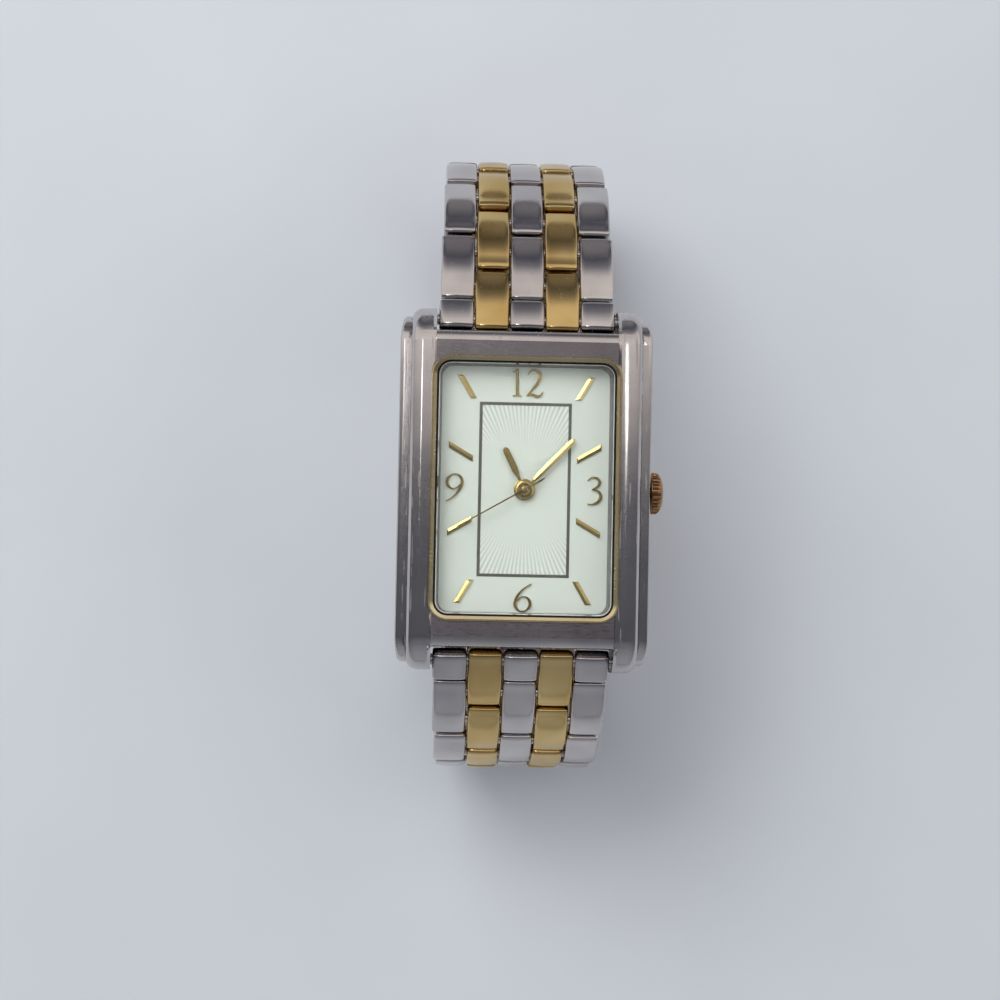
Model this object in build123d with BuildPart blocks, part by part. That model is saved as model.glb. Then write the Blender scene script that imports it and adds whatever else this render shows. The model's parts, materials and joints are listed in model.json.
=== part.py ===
"""Rectangular two-tone quartz wristwatch, closed on its five-row bracelet, in millimetres.

Frame: the origin is the centre of the case back's outer face, +Z points out of the dial,
+Y to twelve o'clock and +X to the crown.
"""

import os
from math import asin, cos, degrees, radians, sin

from build123d import *

os.makedirs("parts", exist_ok=True)

# Fits shared by the whole watch
press_gap = 0.01
running_gap = 0.03
wheel_gap = 0.02
slip_gap = 0.10
face_gap = 0.05
overrun = 1.0

# Case: a middle between two stepped rails whose ends are the lugs
width_at_lugs = 18.40
lug_gap = 0.25
rail_step = 0.15
inner_rail_width = 2.60
outer_rail_width = 1.00
inner_rail_x = width_at_lugs / 2 + lug_gap
outer_rail_x = inner_rail_x + inner_rail_width + rail_step
groove_depth = 0.50
case_bottom = 0.60
inner_rail_top = 7.50
inner_rail_end = 18.90
inner_rail_drop = 3.70
inner_tip_bottom = 1.30
inner_under_flat = 15.00
outer_rail_top = 5.40
outer_rail_bottom = 1.40
outer_rail_end = 18.15
outer_rail_drop = 2.80
outer_tip_bottom = 1.90
outer_under_flat = 15.60
inner_rail_round = 1.25
outer_rail_round = 0.45
rail_overlap = 0.35
panel_top = 7.20
panel_end = 16.45
panel_bevel_length = 1.10
panel_bevel_drop = 1.00

# Opening over the dial, from the dial seat up to the gilt rim
window_corner_radius = 1.20
movement_size = (15.30, 17.80)
holder_ring = (1.95, 5.00)
chamber_size = tuple(size + 2 * ring for size, ring in zip(movement_size, holder_ring))
chamber_radius = 1.60
dial_top = 4.70
dial_ledge = (0.85, 1.10)
rehaut_size = tuple(size - 2 * ledge for size, ledge in zip(chamber_size, dial_ledge))
rehaut_taper = 12.0
crystal_shelf = (0.35, 0.20)
crystal_size = tuple(size + 2 * shelf for size, shelf in zip(rehaut_size, crystal_shelf))
crystal_radius = 1.30
crystal_bottom = 6.10
crystal_height = 1.25
crystal_bevel = 0.15
crystal_gasket_width = 0.20
crystal_gasket_height = 0.90
rim_width = 0.55
rim_bottom = 6.70
rim_top = 7.50
rim_bevel = 0.18

# Back, pressed into the chamber on its gasket
back_margin = 0.70
back_corner_radius = 2.00
back_wall = 0.60
back_spigot_top = 1.30
back_gasket_width = 0.50
back_gasket_height = 0.45
back_bevel = 0.25

# Dial and its applied markers
dial_thickness = 0.40
dial_margin = 0.10
dial_hole_radius = 0.85
dial_foot_radius = 0.35
dial_foot_length = 0.60
dial_foot_inset = 0.90
dial_foot_y = 6.50
marker_height = 0.25
baton_width = 0.57
baton_margin = (0.80, 0.95)
baton_end_x = rehaut_size[0] / 2 - baton_margin[0]
baton_end_y = rehaut_size[1] / 2 - baton_margin[1]
baton_length_side = 2.90
baton_length_corner = 2.75
numeral_height = 2.85
numeral_width = 1.55
numeral_stroke = 0.26
numeral_cut_share = 0.50
numeral_margin = (0.725, 0.225)
numeral_12_y = rehaut_size[1] / 2 - numeral_margin[1] - numeral_height / 2
numeral_6_y = numeral_12_y
numeral_side_x = rehaut_size[0] / 2 - numeral_margin[0] - numeral_width / 2

# Hands and their layers above the dial
hand_thickness = 0.15
hour_hand_bottom = 4.95
minute_hand_bottom = 5.30
second_hand_bottom = 5.62
hour_hand_length = 4.85
hour_hand_width = 0.68
hour_hub_radius = 1.05
minute_hand_length = 7.40
minute_hand_width = 0.55
minute_hub_radius = 0.75
second_hand_length = 8.00
second_hand_width = 0.16
second_tail_length = 2.40
second_tail_width = 0.30
second_boss_radius = 0.36
neck_width_share = 0.45
neck_length_share = 0.30
hour_angle = 333.8
minute_angle = 44.0
second_angle = 240.0

# Quartz movement
movement_radius = 0.80
plate_bottom = 3.10
plate_top = 4.25
bridge_bottom = 1.55
bridge_thickness = 0.30
bridge_width = 9.60
bridge_x = -1.40
bridge_top_y = 1.30
bridge_coil_gap = 0.25
bridge_pillar_radius = 0.45
bridge_pillar_inset = 0.70
holder_bottom = 1.30
holder_margin = 0.20
motion_recess_bottom = 3.60
motion_recess_radius = 1.70
arbor_radius = 0.12
second_tube_radius = 0.17
cannon_radius = 0.36
cannon_pinion_radius = 0.45
cannon_pinion_bottom = 3.63
cannon_pinion_top = 3.85
hour_pipe_radius = 0.60
hour_pipe_bore = 0.40
wheel_thickness = 0.12
second_wheel_radius = 1.56
second_wheel_bottom = 2.00
second_pinion_radius = 0.255
second_pinion_top = 2.45
third_wheel_radius = 1.70
third_wheel_bottom = 2.20
third_pinion_radius = 0.195
third_pinion_top = 2.85
third_wheel_angle = -50.0
centre_wheel_bottom = 2.60
fifth_wheel_radius = 1.30
fifth_wheel_bottom = 2.25
fifth_pinion_radius = 0.26
fifth_pinion_bottom = 1.95
fifth_wheel_angle = 200.0
rotor_pinion_radius = 0.26
rotor_pinion_top = 2.45
rotor_magnet_radius = 0.60
rotor_magnet_bottom = 2.55
rotor_magnet_height = 0.40
rotor_angle = 215.0
hour_wheel_radius = 1.44
hour_wheel_bottom = 3.92
minute_wheel_bottom = 3.68
minute_pinion_radius = 0.36
minute_pinion_top = 4.10
minute_wheel_angle = -25.0
stator_margin = 0.85
stator_wheel_gap = 0.24
stator_top_y = -0.30
stator_pillar_gap = 0.65
stator_bottom = 2.68
stator_thickness = 0.25
stator_hole_radius = 0.80
coil_radius = 0.85
coil_length = 7.60
coil_flange_radius = 1.10
coil_flange_width = 0.30
coil_x = -1.60
coil_height = 2.30
coil_margin = 0.15
battery_margin = (0.35, 0.50)
battery_bridge_gap = 0.30
battery_height = 2.60
battery_bottom = 1.35
battery_cap_step = 0.70
battery_cap_height = 0.25
clamp_width = 1.60
clamp_thickness = 0.20
clamp_tab = 0.25
board_margin = (0.35, 0.40)
board_battery_gap = 1.40
board_low_y = 2.70
board_bottom = 1.90
board_thickness = 0.20
can_radius = 0.60
can_length = 4.60
can_height = 2.75
can_margin = 0.90
can_inset = 0.90

# Crown, stem and their gasket, on the three o'clock side
stem_height = 3.00
stem_radius = 0.45
stem_inner_end = 3.20
stem_pinion_radius = 0.75
stem_pinion_place = 3.50
stem_pinion_length = 0.90
crown_radius = 2.20
crown_length = 1.40
crown_gap = 0.10
crown_flutes = 28
crown_flute_radius = 0.15
crown_flute_length = 0.85
crown_skirt = 0.15
crown_dome = 0.22
crown_hub_radius = 0.80
crown_hub_length = 1.70
crown_bore_depth = 0.60
crown_hole_radius = 1.00
crown_hole_depth = 2.10
crown_travel = 0.80
crown_gasket_width = 0.60
crown_gasket_wall = 0.16

# Bracelet: each row's pins are half a pitch apart, so steel and gilt rows lie like bricks
row_pitch = 8.00
row_gap = 0.25
row_thickness = 2.50
row_crown = 0.16
row_edge_round = 0.32
column_gap = 0.20
pin_radius = 0.50
pin_inset = 0.25
end_link_length = 4.10
width_at_clasp = 16.00
column_count = 5
lug_pin_y = 17.80
lug_pin_z = 3.90
bar_radius = 0.60
bar_tip_radius = 0.40
bar_tip_length = 0.80
twelve_headings = (20.0, 22.0, 30.0, 39.0, 52.0, 66.0, 80.0)
twelve_rows = 11
six_headings = (36.0, 43.0, 54.0, 67.0, 78.5, 90.0)
six_rows = 9

# Fold-over clasp: cover outside, then two blades folded over it
clasp_span = 41.00
cover_thickness = 0.80
cover_width = width_at_clasp
cover_wall = 0.60
cover_wall_height = 2.30
cover_pin_height = 1.60
cover_end_inset = 2.30
cover_tail = 2.20
cover_edge_round = 0.40
blade_thickness = 0.70
outer_blade_height = 1.55
inner_blade_height = 2.75
outer_blade_width = 9.00
inner_blade_width = 11.00
blade_window_share = 0.50
blade_window_length_share = 0.60
fold_pin_inset = 6.50
cover_hinge_inset = 4.80
clasp_pin_radius = 0.35
clasp_knuckle_radius = 0.62
fold_knuckle_radius = 0.60
clasp_pin_margin = 0.30
clasp_pin_length = outer_blade_width - 2 * clasp_pin_margin
fold_knuckle_length = 3.00
clasp_end_knuckle_radius = 1.10
catch_rise = 0.70


def save(piece, name):
    """Label one finished piece and write its file."""
    piece.part.label = name
    export_step(piece.part, f"parts/{name}.step")


def polar(distance, angle, centre=(0, 0)):
    """The point at this distance and angle from a centre."""
    return (centre[0] + distance * cos(radians(angle)), centre[1] + distance * sin(radians(angle)))


def plate(size, corner, bottom, top, hole=None, hole_corner=None):
    """Add a rounded rectangular plate or ring, between two heights."""
    with BuildSketch(Plane.XY.offset(bottom)) as outline:
        RectangleRounded(*size, corner)
        if hole:
            RectangleRounded(*hole, hole_corner, mode=Mode.SUBTRACT)
    extrude(outline.sketch, amount=top - bottom)


def disc(radius, bottom, top, centre=(0, 0), bore=0):
    """Add a disc or ring about a Z axis, between two heights."""
    with BuildSketch(Plane.XY.offset(bottom)) as outline:
        with Locations(centre):
            Circle(radius)
            if bore:
                Circle(bore, mode=Mode.SUBTRACT)
    extrude(outline.sketch, amount=top - bottom)


def round_bar(radius, x_from, x_to, y, z, mode=Mode.ADD):
    """Add or cut a round bar that lies along X."""
    with BuildSketch(Plane.YZ.offset(x_from)) as outline:
        with Locations((y, z)):
            Circle(radius)
    extrude(outline.sketch, amount=x_to - x_from, mode=mode)


# Case body

def rail_outline(top, bottom, end, drop, tip_bottom, under_flat):
    """The side view of a rail: flat on top, with a quarter round down to the lug tip at each end."""
    flat = end - drop
    tip_top = top - drop
    with BuildLine() as outline:
        Line((-flat, top), (flat, top))
        TangentArc((flat, top), (end, tip_top), tangent=(1, 0))
        Polyline((end, tip_top), (end, tip_bottom), (under_flat, bottom), (-under_flat, bottom),
                 (-end, tip_bottom), (-end, tip_top))
        TangentArc((-flat, top), (-end, tip_top), tangent=(-1, 0))
    make_face(outline.edges())


def rounded_rail(side, inner_x, width, radius, outline_sizes):
    """One rail whose outer edge is round along its top and down its lug tips."""
    with BuildPart() as rail:
        with BuildSketch(Plane.YZ.offset(side * inner_x)):
            rail_outline(*outline_sizes)
        extrude(amount=side * width)
        outer_face = side * (inner_x + width)
        outer_edges = rail.edges().filter_by(lambda edge: abs(edge.center().X - outer_face) < press_gap)
        fillet(outer_edges.filter_by(lambda edge: edge.center().Z > outline_sizes[4] + press_gap), radius)
    return rail.part


def inner_rail(side):
    """The tall rail that flanks the dial."""
    return rounded_rail(side, inner_rail_x, inner_rail_width, inner_rail_round,
                        (inner_rail_top, case_bottom, inner_rail_end, inner_rail_drop, inner_tip_bottom,
                         inner_under_flat))


def outer_rail(side):
    """The low rail outside the tall one."""
    return rounded_rail(side, outer_rail_x, outer_rail_width, outer_rail_round,
                        (outer_rail_top, outer_rail_bottom, outer_rail_end, outer_rail_drop, outer_tip_bottom,
                         outer_under_flat))


def rail_web(side):
    """The web that joins the two rails and leaves a groove between them."""
    with BuildPart() as web:
        with BuildSketch(Plane.YZ.offset(side * (inner_rail_x + inner_rail_width - rail_overlap))):
            rail_outline(outer_rail_top - groove_depth, outer_rail_bottom, outer_rail_end - groove_depth,
                         outer_rail_drop, outer_tip_bottom, outer_under_flat)
        extrude(amount=side * (outer_rail_x - inner_rail_x - inner_rail_width + 2 * rail_overlap))
    return web.part


crystal_seat_size = tuple(size + 2 * crystal_gasket_width for size in crystal_size)
crystal_seat_radius = crystal_radius + crystal_gasket_width
rim_size = tuple(size + 2 * rim_width for size in crystal_seat_size)
rim_radius = crystal_seat_radius + rim_width
dial_seat = dial_top + face_gap
case_side = outer_rail_x + outer_rail_width

with BuildPart() as case_body:
    with BuildSketch(Plane.YZ) as middle_outline:
        with BuildLine():
            Polyline((-panel_end, case_bottom), (panel_end, case_bottom),
                     (panel_end, panel_top - panel_bevel_drop), (panel_end - panel_bevel_length, panel_top),
                     (panel_bevel_length - panel_end, panel_top), (-panel_end, panel_top - panel_bevel_drop),
                     close=True)
        make_face()
    extrude(amount=inner_rail_x + rail_overlap, both=True)
    for side in (-1, 1):
        add(inner_rail(side))
        add(outer_rail(side))
        add(rail_web(side))
    with BuildSketch(Plane.XY.offset(case_bottom - overrun)):
        RectangleRounded(*chamber_size, chamber_radius)
    extrude(amount=dial_seat - case_bottom + overrun, mode=Mode.SUBTRACT)
    with BuildSketch(Plane.XY.offset(dial_seat)):
        RectangleRounded(*rehaut_size, window_corner_radius)
    extrude(amount=crystal_bottom - dial_seat, taper=-rehaut_taper, mode=Mode.SUBTRACT)
    with BuildSketch(Plane.XY.offset(crystal_bottom)):
        RectangleRounded(*crystal_seat_size, crystal_seat_radius)
    extrude(amount=inner_rail_top - crystal_bottom + overrun, mode=Mode.SUBTRACT)
    with BuildSketch(Plane.XY.offset(rim_bottom)):
        RectangleRounded(*rim_size, rim_radius)
    extrude(amount=inner_rail_top - rim_bottom + overrun, mode=Mode.SUBTRACT)
    round_bar(crown_hole_radius, case_side - crown_hole_depth, case_side + overrun, 0, stem_height,
              mode=Mode.SUBTRACT)
    round_bar(stem_radius + face_gap, 0, case_side, 0, stem_height, mode=Mode.SUBTRACT)
    for side in (-1, 1):
        for end in (-1, 1):
            tip_end = inner_rail_x + bar_tip_length + slip_gap
            reach = sorted((side * (inner_rail_x - overrun), side * tip_end))
            round_bar(bar_tip_radius + press_gap, *reach, end * lug_pin_y, lug_pin_z, mode=Mode.SUBTRACT)
save(case_body, "case_body")

# Case back, gaskets, rim and crystal
back_size = tuple(size + 2 * back_margin for size in chamber_size)
spigot_size = tuple(size - 2 * back_gasket_width for size in chamber_size)
spigot_radius = chamber_radius - back_gasket_width
spigot_bore = tuple(size - 2 * back_wall for size in spigot_size)
spigot_bore_radius = spigot_radius - back_wall

with BuildPart() as case_back:
    plate(back_size, back_corner_radius, 0, case_bottom)
    chamfer(case_back.faces().sort_by(Axis.Z)[0].edges(), back_bevel)
    plate(spigot_size, spigot_radius, case_bottom, back_spigot_top, spigot_bore, spigot_bore_radius)
save(case_back, "case_back")

with BuildPart() as back_gasket:
    plate(chamber_size, chamber_radius, case_bottom, case_bottom + back_gasket_height,
          spigot_size, spigot_radius)
save(back_gasket, "back_gasket")

with BuildPart() as bezel_rim:
    plate(rim_size, rim_radius, rim_bottom, rim_top, crystal_seat_size, crystal_seat_radius)
    chamfer(bezel_rim.faces().sort_by(Axis.Z)[-1].edges(), rim_bevel)
save(bezel_rim, "bezel_rim")

with BuildPart() as crystal:
    plate(crystal_size, crystal_radius, crystal_bottom, crystal_bottom + crystal_height)
    chamfer(crystal.faces().sort_by(Axis.Z)[-1].edges(), crystal_bevel)
save(crystal, "crystal")

with BuildPart() as crystal_gasket:
    plate(crystal_seat_size, crystal_seat_radius, crystal_bottom, crystal_bottom + crystal_gasket_height,
          crystal_size, crystal_radius)
save(crystal_gasket, "crystal_gasket")

# Dial and markers
dial_size = tuple(size - 2 * dial_margin for size in chamber_size)
dial_bottom = dial_top - dial_thickness
dial_foot_x = dial_size[0] / 2 - dial_foot_inset
dial_foot_places = ((-dial_foot_x, dial_foot_y), (dial_foot_x, -dial_foot_y))

with BuildPart() as dial:
    plate(dial_size, chamber_radius - dial_margin, dial_bottom, dial_top)
    with BuildSketch(Plane.XY.offset(dial_bottom)):
        with Locations(*dial_foot_places):
            Circle(dial_foot_radius)
    extrude(amount=-dial_foot_length)
    with BuildSketch(Plane.XY.offset(dial_bottom)):
        Circle(dial_hole_radius)
    extrude(amount=dial_thickness, mode=Mode.SUBTRACT)
save(dial, "dial")


def baton(hour):
    """One hour bar along its ray, with its ends cut parallel to the dial's edge."""
    angle = radians(90 - 30 * hour)
    ray = (cos(angle), sin(angle))
    at_side = abs(ray[0]) > abs(ray[1])
    across = ray[0] if at_side else ray[1]
    outer = (baton_end_x if at_side else baton_end_y) / abs(across)
    inner = outer - (baton_length_side if at_side else baton_length_corner)
    half = baton_width / 2 / abs(across)
    corners = []
    for distance, sign in ((inner, -1), (inner, 1), (outer, 1), (outer, -1)):
        shift = (0, sign * half) if at_side else (sign * half, 0)
        corners.append((distance * ray[0] + shift[0], distance * ray[1] + shift[1]))
    with BuildLine() as outline:
        Polyline(*corners, close=True)
    make_face(outline.edges())


half_h = numeral_height / 2
half_w = numeral_width / 2
bowl = (half_h + numeral_stroke / 2) / 2


def ring(x, y, cut_left=0):
    """A round bowl of a numeral, with its left side cut away over a share of its width."""
    with BuildSketch() as outline:
        with Locations((x, y)):
            Circle(bowl)
            Circle(bowl - numeral_stroke, mode=Mode.SUBTRACT)
            if cut_left:
                with Locations((-bowl, 0)):
                    Rectangle(2 * bowl * cut_left, 2 * bowl, mode=Mode.SUBTRACT)
    add(outline.sketch)


def bar(*corners):
    """A straight stroke of a numeral, by its corners."""
    with BuildLine() as outline:
        Polyline(*corners, close=True)
    make_face(outline.edges())


def draw_one(x, y):
    """A one with its flag and foot."""
    half = numeral_stroke / 2
    bar((x - half, y - half_h), (x + half, y - half_h), (x + half, y + half_h), (x - half, y + half_h))
    for level, reach in ((y - half_h, half_w / 2), (y + half_h - numeral_stroke, half_w / 2)):
        right = x + (reach if level < y else 0)
        bar((x - reach, level), (right, level), (right, level + half), (x - reach, level + half))


def draw_two(x, y):
    """A two: a bowl, a slope and a foot."""
    ring(x, y + half_h - bowl)
    bar((x - bowl, y - half_h), (x - bowl + numeral_stroke, y - half_h), (x + bowl, y + half_h - bowl),
        (x + bowl - numeral_stroke, y + half_h - bowl))
    bar((x - bowl, y - half_h), (x + half_w, y - half_h), (x + half_w, y - half_h + numeral_stroke),
        (x - bowl, y - half_h + numeral_stroke))


def draw_three(x, y):
    """A three: two bowls, open on the left."""
    ring(x, y + half_h - bowl, cut_left=numeral_cut_share)
    ring(x, y - half_h + bowl, cut_left=numeral_cut_share)


def draw_six(x, y, turn):
    """A six, or a nine when turn is -1."""
    low = y - turn * (half_h - bowl)
    ring(x, low)
    bar((x - turn * bowl, low), (x - turn * (bowl - numeral_stroke), low),
        (x + turn * half_w / 2, y + turn * half_h), (x, y + turn * half_h))


with BuildPart() as hour_markers:
    with BuildSketch(Plane.XY.offset(dial_top)):
        for hour in (1, 2, 4, 5, 7, 8, 10, 11):
            baton(hour)
        draw_one(-half_w, numeral_12_y)
        draw_two(half_w + numeral_stroke, numeral_12_y)
        draw_three(numeral_side_x, 0)
        draw_six(0, -numeral_6_y, 1)
        draw_six(-numeral_side_x, 0, -1)
    extrude(amount=marker_height)
save(hour_markers, "hour_markers")

# Hands


def hand(name, angle, bottom, length, width, hub, bore, tail=0, tail_width=0):
    """One flat hand with a narrow neck and a rounded tip, turned clockwise from twelve."""
    with BuildPart() as piece:
        with BuildSketch(Plane.XY.offset(bottom).rotated((0, 0, -angle))):
            neck_end = hub + (length - hub) * neck_length_share
            half = width / 2
            neck = half * neck_width_share
            with BuildLine():
                Polyline((-neck, 0), (-neck, (hub + neck_end) / 2), (-half, neck_end), (-half, length - half))
                ThreePointArc((-half, length - half), (0, length), (half, length - half))
                Polyline((half, length - half), (half, neck_end), (neck, (hub + neck_end) / 2), (neck, 0),
                         (-neck, 0))
            make_face()
            Circle(hub)
            if tail:
                with Locations((0, -tail / 2)):
                    Rectangle(tail_width, tail)
            Circle(bore, mode=Mode.SUBTRACT)
        extrude(amount=hand_thickness)
    save(piece, name)


hand("hour_hand", hour_angle, hour_hand_bottom, hour_hand_length, hour_hand_width, hour_hub_radius,
     hour_pipe_radius + press_gap)
hand("minute_hand", minute_angle, minute_hand_bottom, minute_hand_length, minute_hand_width,
     minute_hub_radius, cannon_radius + press_gap)
hand("second_hand", second_angle, second_hand_bottom, second_hand_length, second_hand_width,
     second_boss_radius, arbor_radius + press_gap, second_tail_length, second_tail_width)

# Wheels: the teeth are finer than a tenth of a millimetre, so each wheel is its pitch circle
centre_distance = third_wheel_radius + second_pinion_radius + wheel_gap
centre_wheel_radius = centre_distance - third_pinion_radius - wheel_gap
third_place = polar(centre_distance, third_wheel_angle)
fifth_place = polar(second_wheel_radius + fifth_pinion_radius + wheel_gap, fifth_wheel_angle)
rotor_place = polar(fifth_wheel_radius + rotor_pinion_radius + wheel_gap, rotor_angle, fifth_place)
motion_distance = hour_wheel_radius + minute_pinion_radius + wheel_gap
minute_wheel_radius = motion_distance - cannon_pinion_radius - wheel_gap
minute_place = polar(motion_distance, minute_wheel_angle)
arbor_bottom = bridge_bottom
arbor_top = plate_bottom + arbor_radius

with BuildPart() as second_wheel:
    disc(arbor_radius, arbor_bottom, second_hand_bottom + hand_thickness)
    disc(second_wheel_radius, second_wheel_bottom, second_wheel_bottom + wheel_thickness)
    disc(second_pinion_radius, second_wheel_bottom, second_pinion_top)
save(second_wheel, "second_wheel")

with BuildPart() as third_wheel:
    disc(arbor_radius, arbor_bottom, arbor_top, third_place)
    disc(third_wheel_radius, third_wheel_bottom, third_wheel_bottom + wheel_thickness, third_place)
    disc(third_pinion_radius, third_wheel_bottom, third_pinion_top, third_place)
save(third_wheel, "third_wheel")

with BuildPart() as centre_wheel:
    disc(centre_wheel_radius, centre_wheel_bottom, centre_wheel_bottom + wheel_thickness,
         bore=second_tube_radius)
    disc(cannon_radius, centre_wheel_bottom, minute_hand_bottom + hand_thickness, bore=second_tube_radius)
    disc(cannon_pinion_radius, cannon_pinion_bottom, cannon_pinion_top, bore=second_tube_radius)
save(centre_wheel, "centre_wheel")

with BuildPart() as fifth_wheel:
    disc(arbor_radius, arbor_bottom, arbor_top, fifth_place)
    disc(fifth_wheel_radius, fifth_wheel_bottom, fifth_wheel_bottom + wheel_thickness, fifth_place)
    disc(fifth_pinion_radius, fifth_pinion_bottom, fifth_wheel_bottom, fifth_place)
save(fifth_wheel, "fifth_wheel")

with BuildPart() as motor_rotor:
    disc(arbor_radius, arbor_bottom, arbor_top, rotor_place)
    disc(rotor_pinion_radius, fifth_wheel_bottom - face_gap, rotor_pinion_top, rotor_place)
    disc(rotor_magnet_radius, rotor_magnet_bottom, rotor_magnet_bottom + rotor_magnet_height, rotor_place)
save(motor_rotor, "motor_rotor")

with BuildPart() as minute_wheel:
    disc(minute_wheel_radius, minute_wheel_bottom, minute_wheel_bottom + wheel_thickness, minute_place,
         arbor_radius + wheel_gap)
    disc(minute_pinion_radius, minute_wheel_bottom, minute_pinion_top, minute_place, arbor_radius + wheel_gap)
save(minute_wheel, "minute_wheel")

with BuildPart() as hour_wheel:
    disc(hour_wheel_radius, hour_wheel_bottom, hour_wheel_bottom + wheel_thickness, bore=hour_pipe_bore)
    disc(hour_pipe_radius, hour_wheel_bottom, hour_hand_bottom + hand_thickness, bore=hour_pipe_bore)
save(hour_wheel, "hour_wheel")

# Movement plates and fixed parts, laid out inward from the edges of the movement
half_x = movement_size[0] / 2
half_y = movement_size[1] / 2
battery_radius = (half_y - battery_margin[1] - bridge_top_y - battery_bridge_gap) / 2
battery_centre = (battery_margin[0] + battery_radius - half_x, half_y - battery_margin[1] - battery_radius)
battery_cap_radius = battery_radius - battery_cap_step
battery_top = battery_bottom + battery_height
board_left = battery_centre[0] + battery_radius + board_battery_gap
board_right = half_x - board_margin[0]
board_top_y = half_y - board_margin[1]
board_size = (board_right - board_left, board_top_y - board_low_y)
board_centre = ((board_right + board_left) / 2, (board_top_y + board_low_y) / 2)
can_centre = (board_right - can_inset - can_length / 2, half_y - can_margin - can_radius, can_height)
coil_centre = (coil_x, coil_margin + coil_flange_radius - half_y, coil_height)
bridge_low_y = coil_centre[1] + coil_flange_radius + bridge_coil_gap
bridge_size = (bridge_width, bridge_top_y - bridge_low_y)
bridge_centre = (bridge_x, (bridge_top_y + bridge_low_y) / 2)
stator_low_y = bridge_low_y + bridge_pillar_inset + bridge_pillar_radius + stator_pillar_gap
stator_left = stator_margin - half_x
stator_right = -centre_wheel_radius - stator_wheel_gap
stator_size = (stator_right - stator_left, stator_top_y - stator_low_y)
stator_centre = ((stator_right + stator_left) / 2, (stator_top_y + stator_low_y) / 2)
pivot_places = (third_place, fifth_place, rotor_place)

with BuildPart() as movement_plate:
    plate(movement_size, movement_radius, plate_bottom, plate_top)
    with BuildSketch(Plane.XY.offset(motion_recess_bottom)):
        Circle(motion_recess_radius)
        with Locations(minute_place):
            Circle(minute_wheel_radius + slip_gap)
    extrude(amount=plate_top - motion_recess_bottom, mode=Mode.SUBTRACT)
    disc(arbor_radius, motion_recess_bottom, minute_pinion_top, minute_place)
    with BuildSketch(Plane.XY.offset(plate_bottom - overrun)):
        Circle(cannon_radius + face_gap)
        with Locations(battery_centre):
            Circle(battery_radius + slip_gap)
    extrude(amount=overrun + motion_recess_bottom - plate_bottom, mode=Mode.SUBTRACT)
    with BuildSketch(Plane.XY.offset(motion_recess_bottom)):
        with Locations(battery_centre):
            Circle(battery_radius + slip_gap)
    extrude(amount=battery_top + face_gap - motion_recess_bottom, mode=Mode.SUBTRACT)
    with BuildSketch(Plane.XY.offset(plate_bottom)):
        with Locations(*pivot_places):
            Circle(arbor_radius + wheel_gap)
    extrude(amount=arbor_radius + face_gap, mode=Mode.SUBTRACT)
    round_bar(stem_radius + face_gap, stem_inner_end - face_gap, movement_size[0], 0, stem_height,
              mode=Mode.SUBTRACT)
    round_bar(stem_pinion_radius + face_gap, stem_pinion_place - face_gap,
              stem_pinion_place + stem_pinion_length + crown_travel + face_gap, 0, stem_height,
              mode=Mode.SUBTRACT)
    round_bar(coil_flange_radius + face_gap, coil_centre[0] - coil_length / 2 - face_gap,
              coil_centre[0] + coil_length / 2 + face_gap, coil_centre[1], coil_centre[2], mode=Mode.SUBTRACT)
    round_bar(can_radius + face_gap, can_centre[0] - can_length / 2 - face_gap,
              can_centre[0] + can_length / 2 + face_gap, can_centre[1], can_centre[2], mode=Mode.SUBTRACT)
save(movement_plate, "movement_plate")

pillar_x = bridge_size[0] / 2 - bridge_pillar_inset
pillar_y = bridge_size[1] / 2 - bridge_pillar_inset

with BuildPart() as train_bridge:
    with BuildSketch(Plane.XY.offset(bridge_bottom)):
        with Locations(bridge_centre):
            RectangleRounded(*bridge_size, movement_radius)
        with Locations((0, 0), *pivot_places):
            Circle(arbor_radius + wheel_gap, mode=Mode.SUBTRACT)
    extrude(amount=bridge_thickness)
    with BuildSketch(Plane.XY.offset(bridge_bottom + bridge_thickness)):
        with Locations(bridge_centre):
            with Locations((pillar_x, -pillar_y), (-pillar_x, pillar_y), (-pillar_x, -pillar_y)):
                Circle(bridge_pillar_radius)
    extrude(amount=plate_bottom - bridge_bottom - bridge_thickness)
save(train_bridge, "train_bridge")

with BuildPart() as motor_stator:
    with BuildSketch(Plane.XY.offset(stator_bottom)):
        with Locations(stator_centre):
            Rectangle(*stator_size)
        with Locations(rotor_place):
            Circle(stator_hole_radius, mode=Mode.SUBTRACT)
    extrude(amount=stator_thickness)
save(motor_stator, "motor_stator")

with BuildPart() as motor_coil:
    coil_from = coil_centre[0] - coil_length / 2
    coil_to = coil_centre[0] + coil_length / 2
    round_bar(coil_radius, coil_from, coil_to, coil_centre[1], coil_centre[2])
    round_bar(coil_flange_radius, coil_from, coil_from + coil_flange_width, coil_centre[1], coil_centre[2])
    round_bar(coil_flange_radius, coil_to - coil_flange_width, coil_to, coil_centre[1], coil_centre[2])
save(motor_coil, "motor_coil")

with BuildPart() as circuit_board:
    with BuildSketch(Plane.XY.offset(board_bottom)):
        with Locations(board_centre):
            Rectangle(*board_size)
    extrude(amount=board_thickness)
save(circuit_board, "circuit_board")

with BuildPart() as quartz_can:
    round_bar(can_radius, can_centre[0] - can_length / 2, can_centre[0] + can_length / 2, can_centre[1],
              can_centre[2])
save(quartz_can, "quartz_can")

with BuildPart() as battery:
    disc(battery_radius, battery_bottom + battery_cap_height, battery_top, battery_centre)
    disc(battery_cap_radius, battery_bottom, battery_bottom + battery_cap_height, battery_centre)
save(battery, "battery")

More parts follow.
